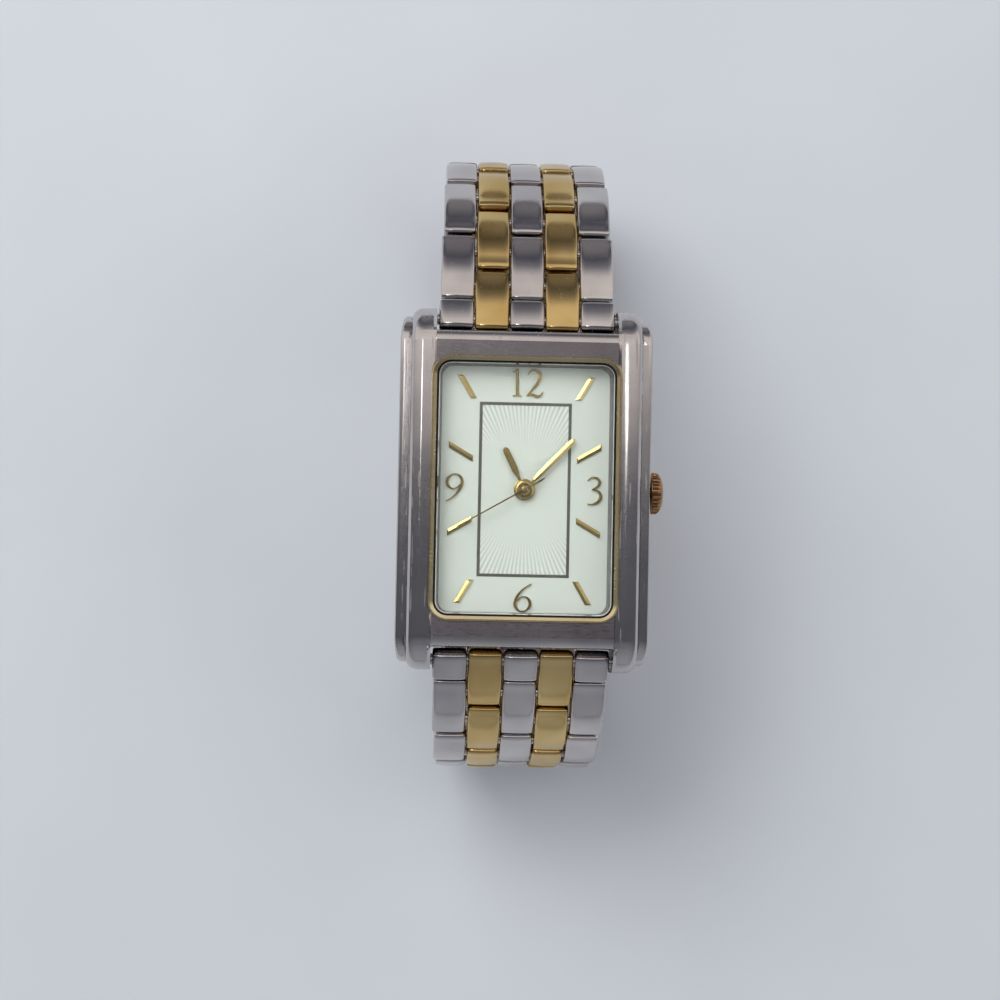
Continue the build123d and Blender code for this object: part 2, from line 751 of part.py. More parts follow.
with BuildPart() as battery_clamp:
    strap_half = battery_radius + slip_gap + clamp_tab
    strap_x = (battery_centre[0] - strap_half, battery_centre[0] + strap_half)
    strap_y = (battery_centre[1] - clamp_width / 2, battery_centre[1] + clamp_width / 2)
    strap_z = battery_bottom - face_gap - clamp_thickness
    with BuildSketch(Plane.XZ.offset(-strap_y[1])):
        with BuildLine():
            Polyline((strap_x[0], plate_bottom), (strap_x[0], strap_z), (strap_x[1], strap_z),
                     (strap_x[1], plate_bottom), (strap_x[1] - clamp_tab, plate_bottom),
                     (strap_x[1] - clamp_tab, strap_z + clamp_thickness),
                     (strap_x[0] + clamp_tab, strap_z + clamp_thickness),
                     (strap_x[0] + clamp_tab, plate_bottom), close=True)
        make_face()
    extrude(amount=clamp_width)
save(battery_clamp, "battery_clamp")

with BuildPart() as movement_holder:
    plate(tuple(size - 2 * holder_margin for size in chamber_size), chamber_radius - holder_margin,
          holder_bottom, dial_bottom, tuple(size + 2 * slip_gap for size in movement_size),
          movement_radius + slip_gap)
    with BuildSketch(Plane.XY.offset(dial_bottom)):
        with Locations(*dial_foot_places):
            Circle(dial_foot_radius + face_gap)
    extrude(amount=-dial_foot_length - face_gap, mode=Mode.SUBTRACT)
    round_bar(stem_radius + face_gap, 0, chamber_size[0], 0, stem_height, mode=Mode.SUBTRACT)
save(movement_holder, "movement_holder")

# Crown and stem
crown_base = case_side + crown_gap
crown_end = crown_base + crown_length
hub_end = crown_base - crown_hub_length

with BuildPart() as crown:
    with BuildSketch(Plane.XZ):
        with BuildLine():
            Polyline((hub_end, stem_height), (hub_end, stem_height + crown_hub_radius),
                     (crown_base, stem_height + crown_hub_radius), (crown_base, stem_height + crown_radius),
                     (crown_end - crown_dome, stem_height + crown_radius))
            TangentArc((crown_end, stem_height), (crown_end - crown_dome, stem_height + crown_radius),
                       tangent=(0, 1))
            Line((crown_end, stem_height), (hub_end, stem_height))
        make_face()
    revolve(axis=Axis((0, 0, stem_height), (1, 0, 0)))
    with BuildSketch(Plane.YZ.offset(crown_base + crown_skirt)):
        with Locations((0, stem_height)):
            with PolarLocations(crown_radius + crown_flute_radius / 3, crown_flutes):
                Circle(crown_flute_radius)
    extrude(amount=crown_flute_length, mode=Mode.SUBTRACT)
    round_bar(stem_radius + press_gap, hub_end - overrun, crown_base + crown_bore_depth, 0, stem_height,
              mode=Mode.SUBTRACT)
save(crown, "crown")

with BuildPart() as winding_stem:
    round_bar(stem_radius, stem_inner_end, crown_base + crown_bore_depth - face_gap, 0, stem_height)
    round_bar(stem_pinion_radius, stem_pinion_place, stem_pinion_place + stem_pinion_length, 0, stem_height)
save(winding_stem, "winding_stem")

with BuildPart() as crown_gasket:
    gasket_from = hub_end + crown_gasket_width
    round_bar(crown_hub_radius + press_gap + crown_gasket_wall, gasket_from,
              gasket_from + crown_gasket_width, 0, stem_height)
    round_bar(crown_hub_radius + press_gap, gasket_from, gasket_from + crown_gasket_width, 0, stem_height,
              mode=Mode.SUBTRACT)
save(crown_gasket, "crown_gasket")

# Bracelet: where every pin lies while the loop is closed
half_pitch = row_pitch / 2
half_thickness = row_thickness / 2
row_reach = half_pitch / 2 - row_gap / 2


def chain(side, seen, count, step):
    """Headings and pins of one half: the seen headings first, then a steady turn per row."""
    headings = list(seen)
    while len(headings) < count + 1:
        headings.append(headings[-1] + step)
    pins = [(side * lug_pin_y, lug_pin_z)]
    for index, heading in enumerate(headings):
        length = half_pitch if index else end_link_length
        angle = radians(heading)
        pins.append((pins[-1][0] + side * length * cos(angle), pins[-1][1] - length * sin(angle)))
    return headings, pins


def misfit(steps):
    """How far the two ends are from lying level, one clasp span apart."""
    twelve_end = chain(1, twelve_headings, twelve_rows, steps[0])[1][-1]
    six_end = chain(-1, six_headings, six_rows, steps[1])[1][-1]
    level = (twelve_end[1] - cover_pin_height) - (six_end[1] - inner_blade_height)
    return twelve_end[0] - six_end[0] - clasp_span, level


def close_loop():
    """Newton's method for the two steady turns that close the loop on the clasp."""
    steps = [18.0, 18.0]
    probe = 0.01
    for _ in range(30):
        base = misfit(steps)
        by_twelve = misfit((steps[0] + probe, steps[1]))
        by_six = misfit((steps[0], steps[1] + probe))
        a, b = [(by_twelve[i] - base[i]) / probe for i in (0, 1)]
        c, d = [(by_six[i] - base[i]) / probe for i in (0, 1)]
        scale = a * d - b * c
        steps[0] -= (base[0] * d - base[1] * c) / scale
        steps[1] -= (base[1] * a - base[0] * b) / scale
    return steps


twelve_step, six_step = close_loop()
twelve_turns, twelve_pins = chain(1, twelve_headings, twelve_rows, twelve_step)
six_turns, six_pins = chain(-1, six_headings, six_rows, six_step)
base_z = twelve_pins[-1][1] - cover_pin_height


def row_frame(side, pin, heading):
    """A plane in a row's side view: x along the row, y outward, at its first pin."""
    angle = radians(heading)
    return Plane(origin=(0, pin[0], pin[1]), x_dir=(0, side * cos(angle), -sin(angle)), z_dir=(side, 0, 0))


def columns(index, count):
    """The five column spans across the bracelet at one row."""
    width = width_at_lugs + (width_at_clasp - width_at_lugs) * index / count
    column = (width - (column_count - 1) * column_gap) / column_count
    starts = [-width / 2 + place * (column + column_gap) for place in range(column_count)]
    return [(start, start + column) for start in starts]


def on_circle(centre, radius, angle):
    """A point of a circle about a pin, in a link's side view."""
    return (centre + radius * cos(radians(angle)), radius * sin(radians(angle)))


def block_outline(first_pin, last_pin):
    """Side view of a link: crowned on top, round below its ends so that rows can curl."""
    start = first_pin - row_reach
    end = last_pin + row_reach
    middle = (start + end) / 2
    shoulder = half_thickness - row_crown
    dip = degrees(asin(half_thickness / row_reach))
    with BuildLine() as outline:
        ThreePointArc((start, shoulder), (middle, half_thickness), (end, shoulder))
        Line((end, shoulder), (end, 0))
        ThreePointArc((end, 0), on_circle(last_pin, row_reach, -dip / 2),
                      on_circle(last_pin, row_reach, -dip))
        Line(on_circle(last_pin, row_reach, -dip), on_circle(first_pin, row_reach, 180 + dip))
        ThreePointArc(on_circle(first_pin, row_reach, 180 + dip),
                      on_circle(first_pin, row_reach, 180 + dip / 2), (start, 0))
        Line((start, 0), (start, shoulder))
    make_face(outline.edges())


def block(frame, span, hole):
    """One link of a row between its two pins."""
    with BuildSketch(frame.offset(span[0])) as outline:
        block_outline(0, half_pitch)
        with Locations((0, 0), (half_pitch, 0)):
            Circle(hole, mode=Mode.SUBTRACT)
    extrude(outline.sketch, amount=span[1] - span[0])


def round_top(builder, frame):
    """Round every edge along the top of the links."""
    limit = half_thickness - row_crown - press_gap
    top_edges = builder.edges().filter_by(lambda edge: frame.to_local_coords(edge.center()).Y > limit)
    fillet(top_edges, row_edge_round)


def bracelet_row(side, index, count, pins, headings, name):
    """One row: three steel links on their two pins, or two gilt links between them."""
    frame = row_frame(side, pins[index], headings[index])
    spans = columns(index, count)
    is_steel = index % 2 == 1
    with BuildPart() as row:
        for span in spans[::2] if is_steel else spans[1::2]:
            block(frame, span, pin_radius + (press_gap if is_steel else running_gap))
        round_top(row, frame)
        if is_steel:
            with BuildSketch(frame.offset(spans[0][0] + pin_inset)):
                with Locations((0, 0), (half_pitch, 0)):
                    Circle(pin_radius)
            extrude(amount=spans[-1][1] - spans[0][0] - 2 * pin_inset)
    save(row, name)


for index in range(1, twelve_rows + 1):
    bracelet_row(1, index, twelve_rows, twelve_pins, twelve_turns, f"row_12_{index:02d}")
for index in range(1, six_rows + 1):
    bracelet_row(-1, index, six_rows, six_pins, six_turns, f"row_6_{index:02d}")


def end_link(side, pins, headings, name):
    """The links on the spring bar: short steel ones, and full gilt ones that carry the first pin."""
    frame = row_frame(side, pins[0], headings[0])
    spans = columns(0, 1)
    shoulder = half_thickness - row_crown
    short_end = end_link_length - half_pitch + row_reach
    dip = degrees(asin(half_thickness / row_reach))
    with BuildPart() as steel:
        for span in spans[::2]:
            with BuildSketch(frame.offset(span[0])):
                with BuildLine():
                    ThreePointArc((0, -half_thickness), (-half_thickness, 0), (0, half_thickness))
                    Polyline((0, half_thickness), (short_end, half_thickness), (short_end, -half_thickness),
                             (0, -half_thickness))
                make_face()
                Circle(bar_radius + running_gap, mode=Mode.SUBTRACT)
            extrude(amount=span[1] - span[0])
    save(steel, f"{name}_steel")
    with BuildPart() as gilt:
        for span in spans[1::2]:
            with BuildSketch(frame.offset(span[0])):
                end = end_link_length + row_reach
                with BuildLine():
                    ThreePointArc((0, -half_thickness), (-half_thickness, 0), (0, half_thickness))
                    ThreePointArc((0, half_thickness), (end / 2, half_thickness), (end, shoulder))
                    Line((end, shoulder), (end, 0))
                    ThreePointArc((end, 0), on_circle(end_link_length, row_reach, -dip / 2),
                                  on_circle(end_link_length, row_reach, -dip))
                    Line(on_circle(end_link_length, row_reach, -dip), (0, -half_thickness))
                make_face()
                Circle(bar_radius + running_gap, mode=Mode.SUBTRACT)
                with Locations((end_link_length, 0)):
                    Circle(pin_radius + running_gap, mode=Mode.SUBTRACT)
            extrude(amount=span[1] - span[0])
    save(gilt, f"{name}_gilt")


end_link(1, twelve_pins, twelve_turns, "end_link_12")
end_link(-1, six_pins, six_turns, "end_link_6")

with BuildPart() as case_spring_bars:
    for end in (-1, 1):
        bar_half = inner_rail_x - face_gap
        round_bar(bar_radius, -bar_half, bar_half, end * lug_pin_y, lug_pin_z)
        tip_half = inner_rail_x + bar_tip_length
        round_bar(bar_tip_radius, -tip_half, tip_half, end * lug_pin_y, lug_pin_z)
save(case_spring_bars, "case_spring_bars")

# Clasp
twelve_end_y = twelve_pins[-1][0]
six_end_y = six_pins[-1][0]
fold_y = twelve_end_y - fold_pin_inset
hinge_y = six_end_y + cover_hinge_inset
hinge_z = base_z + outer_blade_height
fold_z = base_z + (outer_blade_height + inner_blade_height) / 2
gilt_columns = columns(1, 1)[1::2]
pin_half = clasp_pin_length / 2
knuckle_half = pin_half - fold_knuckle_length


def bar_between(radius, spans, y, z, mode=Mode.ADD):
    """Round bars along X over several spans."""
    for span in spans:
        round_bar(radius, span[0], span[1], y, z, mode=mode)


outer_knuckles = ((-pin_half, -knuckle_half - face_gap), (knuckle_half + face_gap, pin_half))
inner_knuckle = ((-knuckle_half, knuckle_half),)

with BuildPart() as clasp_cover:
    cover_from = six_end_y + cover_hinge_inset - cover_tail
    cover_to = twelve_end_y - cover_end_inset
    with BuildSketch(Plane.YZ.offset(-cover_width / 2)):
        with BuildLine():
            Polyline((cover_from, base_z), (cover_to, base_z), (cover_to, base_z + cover_thickness),
                     (cover_from, base_z + cover_thickness), close=True)
        make_face()
    extrude(amount=cover_width)
    fillet(clasp_cover.edges().filter_by(Axis.Z), cover_edge_round)
    for x_from in (-cover_width / 2, cover_width / 2 - cover_wall):
        with BuildSketch(Plane.YZ.offset(x_from)):
            with BuildLine():
                Polyline((hinge_y - cover_tail / 2, base_z + cover_thickness / 2),
                         (cover_to - cover_edge_round, base_z + cover_thickness / 2),
                         (cover_to - cover_edge_round, base_z + cover_wall_height),
                         (hinge_y - cover_tail / 2, base_z + cover_wall_height), close=True)
            make_face()
        extrude(amount=cover_wall)
    for span in gilt_columns:
        inset = column_gap / 2
        with BuildSketch(Plane.YZ.offset(span[0] + inset)):
            # The catch meets the last row's pin with an upright face, so that the pin can leave it
            catch_y = twelve_end_y - pin_radius - slip_gap
            with BuildLine():
                Polyline((cover_to - cover_edge_round, base_z), (catch_y, base_z + catch_rise),
                         (catch_y, base_z + cover_pin_height + pin_radius),
                         (cover_to - cover_edge_round, base_z + cover_wall_height), close=True)
            make_face()
        extrude(amount=span[1] - span[0] - 2 * inset)
    bar_between(clasp_knuckle_radius, outer_knuckles, hinge_y, hinge_z)
    for span in outer_knuckles:
        with BuildSketch(Plane.YZ.offset(span[0])):
            with BuildLine():
                Polyline((hinge_y - clasp_knuckle_radius, base_z), (hinge_y + clasp_knuckle_radius, base_z),
                         (hinge_y + clasp_knuckle_radius, hinge_z), (hinge_y - clasp_knuckle_radius, hinge_z),
                         close=True)
            make_face()
        extrude(amount=span[1] - span[0])
    round_bar(clasp_pin_radius + press_gap, -cover_width, cover_width, hinge_y, hinge_z, mode=Mode.SUBTRACT)
save(clasp_cover, "clasp_cover")

with BuildPart() as clasp_outer_blade:
    blade_length = fold_y - hinge_y
    with BuildSketch(Plane.XY.offset(hinge_z - blade_thickness / 2)):
        with Locations((0, (fold_y + hinge_y) / 2)):
            Rectangle(outer_blade_width, blade_length - 2 * clasp_knuckle_radius - 2 * slip_gap)
            Rectangle(outer_blade_width * blade_window_share, blade_length * blade_window_length_share,
                      mode=Mode.SUBTRACT)
        with Locations((0, (fold_y + hinge_y) / 2)):
            Rectangle(2 * knuckle_half, blade_length)
            Rectangle(outer_blade_width * blade_window_share, blade_length * blade_window_length_share,
                      mode=Mode.SUBTRACT)
    extrude(amount=blade_thickness)
    bar_between(clasp_knuckle_radius, inner_knuckle, hinge_y, hinge_z)
    bar_between(fold_knuckle_radius, inner_knuckle, fold_y, fold_z)
    round_bar(clasp_pin_radius + running_gap, -cover_width, cover_width, hinge_y, hinge_z, mode=Mode.SUBTRACT)
    round_bar(clasp_pin_radius + running_gap, -cover_width, cover_width, fold_y, fold_z, mode=Mode.SUBTRACT)
save(clasp_outer_blade, "clasp_outer_blade")

with BuildPart() as clasp_inner_blade:
    blade_z = base_z + inner_blade_height
    inner_length = fold_y - six_end_y
    with BuildSketch(Plane.XY.offset(blade_z - blade_thickness / 2)):
        with Locations((0, (fold_y + six_end_y) / 2)):
            Rectangle(inner_blade_width, inner_length - 2 * row_reach - 2 * slip_gap)
            Rectangle(inner_blade_width * blade_window_share, inner_length * blade_window_length_share,
                      mode=Mode.SUBTRACT)
        for span in outer_knuckles:
            with Locations(((span[0] + span[1]) / 2, fold_y - row_pitch / 4)):
                Rectangle(span[1] - span[0], row_pitch / 2)
        for span in gilt_columns:
            with Locations(((span[0] + span[1]) / 2, six_end_y + row_pitch / 4)):
                Rectangle(span[1] - span[0] - column_gap, row_pitch / 2)
    extrude(amount=blade_thickness)
    bar_between(fold_knuckle_radius, outer_knuckles, fold_y, fold_z)
    for span in gilt_columns:
        round_bar(clasp_end_knuckle_radius, span[0] + column_gap / 2, span[1] - column_gap / 2,
                  six_end_y, blade_z)
    round_bar(clasp_pin_radius + press_gap, -cover_width, cover_width, fold_y, fold_z, mode=Mode.SUBTRACT)
    round_bar(pin_radius + running_gap, -cover_width, cover_width, six_end_y, blade_z, mode=Mode.SUBTRACT)
save(clasp_inner_blade, "clasp_inner_blade")

with BuildPart() as clasp_cover_pin:
    round_bar(clasp_pin_radius, -pin_half, pin_half, hinge_y, hinge_z)
save(clasp_cover_pin, "clasp_cover_pin")

with BuildPart() as clasp_fold_pin:
    round_bar(clasp_pin_radius, -pin_half, pin_half, fold_y, fold_z)
save(clasp_fold_pin, "clasp_fold_pin")

print("headings at twelve", [round(value, 1) for value in twelve_turns])
print("headings at six", [round(value, 1) for value in six_turns])
print("pins at twelve", [(round(y, 2), round(z, 2)) for y, z in twelve_pins])
print("pins at six", [(round(y, 2), round(z, 2)) for y, z in six_pins])
print("clasp base", round(base_z, 3), "loop from", round(six_end_y, 2), "to", round(twelve_end_y, 2))
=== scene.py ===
"""Looks of a rectangular two-tone wristwatch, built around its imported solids. Lengths are in metres."""

import json
from math import asin, atan2, cos, degrees, hypot, pi, radians, sin

import bmesh
import bpy
from mathutils import Euler, Matrix, Vector


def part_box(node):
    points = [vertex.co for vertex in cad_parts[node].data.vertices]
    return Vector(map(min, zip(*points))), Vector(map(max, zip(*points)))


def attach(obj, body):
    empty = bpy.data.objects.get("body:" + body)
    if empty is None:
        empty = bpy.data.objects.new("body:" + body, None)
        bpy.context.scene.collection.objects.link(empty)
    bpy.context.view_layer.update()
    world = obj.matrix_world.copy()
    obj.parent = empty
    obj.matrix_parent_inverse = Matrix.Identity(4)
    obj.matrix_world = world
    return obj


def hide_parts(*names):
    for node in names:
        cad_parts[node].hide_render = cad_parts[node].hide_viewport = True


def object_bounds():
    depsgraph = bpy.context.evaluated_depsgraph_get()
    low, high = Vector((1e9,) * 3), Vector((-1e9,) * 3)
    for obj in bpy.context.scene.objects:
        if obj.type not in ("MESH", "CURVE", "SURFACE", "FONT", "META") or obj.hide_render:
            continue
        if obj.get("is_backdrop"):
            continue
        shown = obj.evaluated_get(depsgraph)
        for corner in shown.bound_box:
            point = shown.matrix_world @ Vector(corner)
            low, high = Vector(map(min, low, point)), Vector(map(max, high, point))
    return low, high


bl_info = {
    "name": "Rectangular wristwatch",
    "version": (1, 0, 0),
    "blender": (4, 5, 0),
    "location": "3D View > Sidebar > Watch",
    "description": "Builds the case, dial, hands, crown, bracelet and clasp of a two-tone wristwatch",
    "category": "Add Mesh",
}

MM = 0.001
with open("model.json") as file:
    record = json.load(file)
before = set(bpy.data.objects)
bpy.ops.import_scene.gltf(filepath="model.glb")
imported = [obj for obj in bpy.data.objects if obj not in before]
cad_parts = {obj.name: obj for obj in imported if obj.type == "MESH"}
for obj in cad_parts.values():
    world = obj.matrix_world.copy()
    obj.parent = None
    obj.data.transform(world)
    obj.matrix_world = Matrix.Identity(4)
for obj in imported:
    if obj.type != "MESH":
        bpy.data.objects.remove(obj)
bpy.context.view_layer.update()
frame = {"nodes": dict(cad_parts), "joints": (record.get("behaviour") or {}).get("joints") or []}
joints = {joint["name"]: joint for joint in frame["joints"]}


# Sizes and colours

class WatchSizes(bpy.types.PropertyGroup):
    """Sizes of the pieces that the solids leave plain."""
    case_edge: bpy.props.FloatProperty(
        name="Case edge", description="Rounding of the case's polished edges", default=0.10 * MM,
        unit="LENGTH")
    sheet_edge: bpy.props.FloatProperty(
        name="Sheet edge", description="Rounding of pressed and turned parts", default=0.05 * MM,
        unit="LENGTH")
    link_round: bpy.props.FloatProperty(
        name="Link round", description="Radius of a link's top along the bracelet", default=9.5 * MM,
        unit="LENGTH")
    link_side_crown: bpy.props.FloatProperty(
        name="Link side crown", description="Fall of a link's top towards its sides", default=0.12 * MM,
        unit="LENGTH")
    link_edge: bpy.props.FloatProperty(
        name="Link edge", description="Rounding along the edges of a link", default=0.30 * MM, unit="LENGTH")
    gilt_shift: bpy.props.FloatProperty(
        name="Gilt shift", description="How much nearer the case the gilt links sit than their pins' middle",
        default=0.50 * MM, unit="LENGTH")
    link_pin: bpy.props.FloatProperty(
        name="Link pin radius", description="Radius of the pins through the rows", default=0.50 * MM,
        unit="LENGTH")
    rail_crown: bpy.props.FloatProperty(
        name="Rail crown", description="Fall of the tall rails' polished tops towards the dial",
        default=0.26 * MM, unit="LENGTH")
    rail_arch: bpy.props.FloatProperty(
        name="Rail arch", description="Fall of the rails' tops from the middle of the case to its ends",
        default=0.45 * MM, unit="LENGTH")
    frame_line: bpy.props.FloatProperty(
        name="Frame line", description="Width of the printed frame on the dial", default=0.32 * MM,
        unit="LENGTH")
    frame_half: bpy.props.FloatVectorProperty(
        name="Frame half size", description="Half width and half height of the printed frame",
        default=(4.65 * MM, 8.95 * MM), size=2, unit="LENGTH")
    ray_count: bpy.props.IntProperty(
        name="Rays", description="Fine rays pressed into the dial, counted all round", default=126, min=12)
    crown_flutes: bpy.props.IntProperty(
        name="Crown ribs", description="Ribs round the crown", default=28, min=8)


class WatchColours(bpy.types.PropertyGroup):
    """Colours of the finishes, as sRGB hex values."""
    steel: bpy.props.StringProperty(
        name="Steel", description="Polished stainless steel", default="#CDC8C6")
    gilt: bpy.props.StringProperty(
        name="Gilt", description="Gold-tone plating", default="#D9BE85")
    marker: bpy.props.StringProperty(
        name="Markers", description="Gilt of the markers and hands", default="#CDB67C")
    dial: bpy.props.StringProperty(
        name="Dial", description="Satin white lacquer", default="#D3DAD1")
    print: bpy.props.StringProperty(
        name="Print", description="Printed frame line", default="#5B5C50")
    floor: bpy.props.StringProperty(
        name="Floor", description="Plain pale floor", default="#D7DCE3")


def sizes():
    """The sizes in use."""
    return bpy.context.scene.watch_sizes


def colours():
    """The colours in use."""
    return bpy.context.scene.watch_colours


# Materials

def linear(hex_colour, alpha=1.0):
    """An sRGB hex colour as linear red, green, blue and alpha."""
    parts = [int(hex_colour[place:place + 2], 16) / 255 for place in (1, 3, 5)]
    curve = [part / 12.92 if part <= 0.04045 else ((part + 0.055) / 1.055) ** 2.4 for part in parts]
    return (*curve, alpha)


def add_node(tree, kind, inputs=None, stops=(), **settings):
    """Add a node with its settings and colour stops. An input takes a value, a socket or another node."""
    node = tree.nodes.new(kind)
    for name, value in settings.items():
        setattr(node, name, value)
    for key, value in (inputs or {}).items():
        if isinstance(value, bpy.types.Node):
            value = value.outputs[0]
        if isinstance(value, bpy.types.NodeSocket):
            tree.links.new(value, node.inputs[key])
        else:
            node.inputs[key].default_value = value
    for number, (position, hex_colour) in enumerate(stops):
        elements = node.color_ramp.elements
        element = elements[number] if number < len(elements) else elements.new(position)
        element.position = position
        element.color = linear(hex_colour)
    return node


def new_material(name):
    """An empty node material and its tree, output and object coordinates."""
    material = bpy.data.materials.new(name)
    material.use_nodes = True
    tree = material.node_tree
    tree.nodes.clear()
    output = add_node(tree, "ShaderNodeOutputMaterial")
    place = add_node(tree, "ShaderNodeTexCoord").outputs["Object"]
    return material, tree, output, place


def polished_metal(name, hex_colour, shade_hex, roughness, rub_mm, grain=(1, 1, 1), marks=0.0):
    """Metal with fine rub marks and a few scratches: small changes of tone and gloss, and a shallow bump."""
    material, tree, output, place = new_material(name)
    stretched = add_node(tree, "ShaderNodeMapping", {"Vector": place, "Scale": grain})
    rub = add_node(tree, "ShaderNodeTexNoise", {
        "Vector": stretched, "Scale": 1 / (rub_mm * MM), "Detail": 4.0})
    cloud = add_node(tree, "ShaderNodeTexNoise", {"Vector": place, "Scale": 1 / (6 * MM), "Detail": 2.0})
    tone = add_node(tree, "ShaderNodeValToRGB", {"Fac": cloud}, ((0.30, shade_hex), (0.70, hex_colour)))
    # Scratches from wear: about 0.1 mm wide so that they show, and some 2 mm long
    slanted = add_node(tree, "ShaderNodeMapping", {
        "Vector": place, "Rotation": (0, 0, 0.7), "Scale": (1, 0.06, 1)})
    wear = add_node(tree, "ShaderNodeTexNoise", {"Vector": slanted, "Scale": 1 / (0.30 * MM), "Detail": 1.0})
    lines = add_node(tree, "ShaderNodeMapRange", {"Value": wear, "From Min": 0.66, "From Max": 0.72})
    gloss = add_node(tree, "ShaderNodeMapRange", {
        "Value": rub, "From Min": 0.30, "From Max": 0.70,
        "To Min": roughness * 0.75, "To Max": roughness * 1.35})
    worn = add_node(tree, "ShaderNodeMath", {0: lines, 1: 0.25 * marks, 2: gloss}, operation="MULTIPLY_ADD")
    # Heights in millimetres: rub marks under a thousandth, scratches two thousandths deep
    rubbed = add_node(tree, "ShaderNodeMath", {0: rub, 1: 0.0007, 2: 0.0}, operation="MULTIPLY_ADD")
    height = add_node(tree, "ShaderNodeMath", {
        0: lines, 1: -0.002 * marks, 2: rubbed}, operation="MULTIPLY_ADD")
    bump = add_node(tree, "ShaderNodeBump", {"Height": height, "Strength": 1.0, "Distance": MM})
    shader = add_node(tree, "ShaderNodeBsdfPrincipled", {
        "Base Color": tone, "Metallic": 1.0, "Roughness": worn, "Normal": bump})
    tree.links.new(shader.outputs["BSDF"], output.inputs["Surface"])
    return material


def moulded(name, hex_colour, shade_hex, roughness, grain_mm):
    """A dull skin of plastic, rubber or ink with a fine grain."""
    material, tree, output, place = new_material(name)
    grain = add_node(tree, "ShaderNodeTexNoise", {
        "Vector": place, "Scale": 1 / (grain_mm * MM), "Detail": 3.0})
    tone = add_node(tree, "ShaderNodeValToRGB", {"Fac": grain}, ((0.35, shade_hex), (0.65, hex_colour)))
    bump = add_node(tree, "ShaderNodeBump", {"Height": grain, "Strength": 0.4, "Distance": 0.01 * MM})
    shader = add_node(tree, "ShaderNodeBsdfPrincipled", {
        "Base Color": tone, "Roughness": roughness, "Normal": bump})
    tree.links.new(shader.outputs["BSDF"], output.inputs["Surface"])
    return material


def mineral_glass():
    """Flat mineral crystal: clear, with a faint smear. Light passes straight through it to the dial."""
    material, tree, output, place = new_material("mineral_glass")
    smear = add_node(tree, "ShaderNodeTexNoise", {"Vector": place, "Scale": 1 / (5 * MM), "Detail": 3.0})
    gloss = add_node(tree, "ShaderNodeMapRange", {"Value": smear, "To Min": 0.0, "To Max": 0.03})
    glass = add_node(tree, "ShaderNodeBsdfPrincipled", {
        "Base Color": linear("#FBFDFC"), "Roughness": gloss, "IOR": 1.52, "Transmission Weight": 1.0})
    clear = add_node(tree, "ShaderNodeBsdfTransparent")
    shadow = add_node(tree, "ShaderNodeLightPath").outputs["Is Shadow Ray"]
    mix = add_node(tree, "ShaderNodeMixShader", {"Fac": shadow, 1: glass, 2: clear})
    tree.links.new(mix.outputs["Shader"], output.inputs["Surface"])
    return material


def dial_lacquer():
    """Satin white lacquer over a dial blank stamped with fine rays inside the printed frame. The rays are a
    bump, and their light and shade are also painted into the colour.
    """
    material, tree, output, place = new_material("dial_lacquer")
    split = add_node(tree, "ShaderNodeSeparateXYZ", {"Vector": place})
    x, y = split.outputs["X"], split.outputs["Y"]
    # Rays: one ridge and one valley in each share of the full turn
    angle = add_node(tree, "ShaderNodeMath", {0: y, 1: x}, operation="ARCTAN2")
    turns = add_node(tree, "ShaderNodeMath", {0: angle, 1: float(sizes().ray_count)}, operation="MULTIPLY")
    wave = add_node(tree, "ShaderNodeMath", {0: turns}, operation="SINE")
    # Where they show: inside the frame, and fading out towards the middle
    out_x = add_node(tree, "ShaderNodeMath", {0: x}, operation="ABSOLUTE")
    out_y = add_node(tree, "ShaderNodeMath", {0: y}, operation="ABSOLUTE")
    across = add_node(tree, "ShaderNodeMath", {0: out_x, 1: sizes().frame_half[0]}, operation="LESS_THAN")
    along = add_node(tree, "ShaderNodeMath", {0: out_y, 1: sizes().frame_half[1]}, operation="LESS_THAN")
    flat = add_node(tree, "ShaderNodeCombineXYZ", {"X": x, "Y": y})
    distance = add_node(tree, "ShaderNodeVectorMath", {0: flat}, operation="LENGTH").outputs["Value"]
    reach = add_node(tree, "ShaderNodeMapRange", {
        "Value": distance, "From Min": 4.6 * MM, "From Max": 9.0 * MM})
    window = add_node(tree, "ShaderNodeMath", {0: across, 1: along}, operation="MULTIPLY")
    inside = add_node(tree, "ShaderNodeMath", {0: window, 1: reach}, operation="MULTIPLY")
    rays = add_node(tree, "ShaderNodeMath", {0: wave, 1: inside}, operation="MULTIPLY")
    shade = add_node(tree, "ShaderNodeMath", {0: rays, 1: 0.5, 2: 0.5}, operation="MULTIPLY_ADD")
    # Painted highlight on the rays' ridges and painted shade in their valleys, lightening and darkening the
    # lacquer
    tone = add_node(tree, "ShaderNodeValToRGB", {"Fac": shade},
                    ((0.0, "#BCC3BC"), (0.5, colours().dial), (1.0, "#E2E7E0")))
    grain = add_node(tree, "ShaderNodeTexNoise", {"Vector": place, "Scale": 1 / (0.25 * MM), "Detail": 3.0})
    relief = add_node(tree, "ShaderNodeMath", {0: grain, 1: 0.12, 2: rays}, operation="MULTIPLY_ADD")
    bump = add_node(tree, "ShaderNodeBump", {"Height": relief, "Strength": 0.6, "Distance": 0.02 * MM})
    shader = add_node(tree, "ShaderNodeBsdfPrincipled", {
        "Base Color": tone, "Roughness": 0.42, "Normal": bump, "Coat Weight": 0.15, "Coat Roughness": 0.25})
    tree.links.new(shader.outputs["BSDF"], output.inputs["Surface"])
    return material


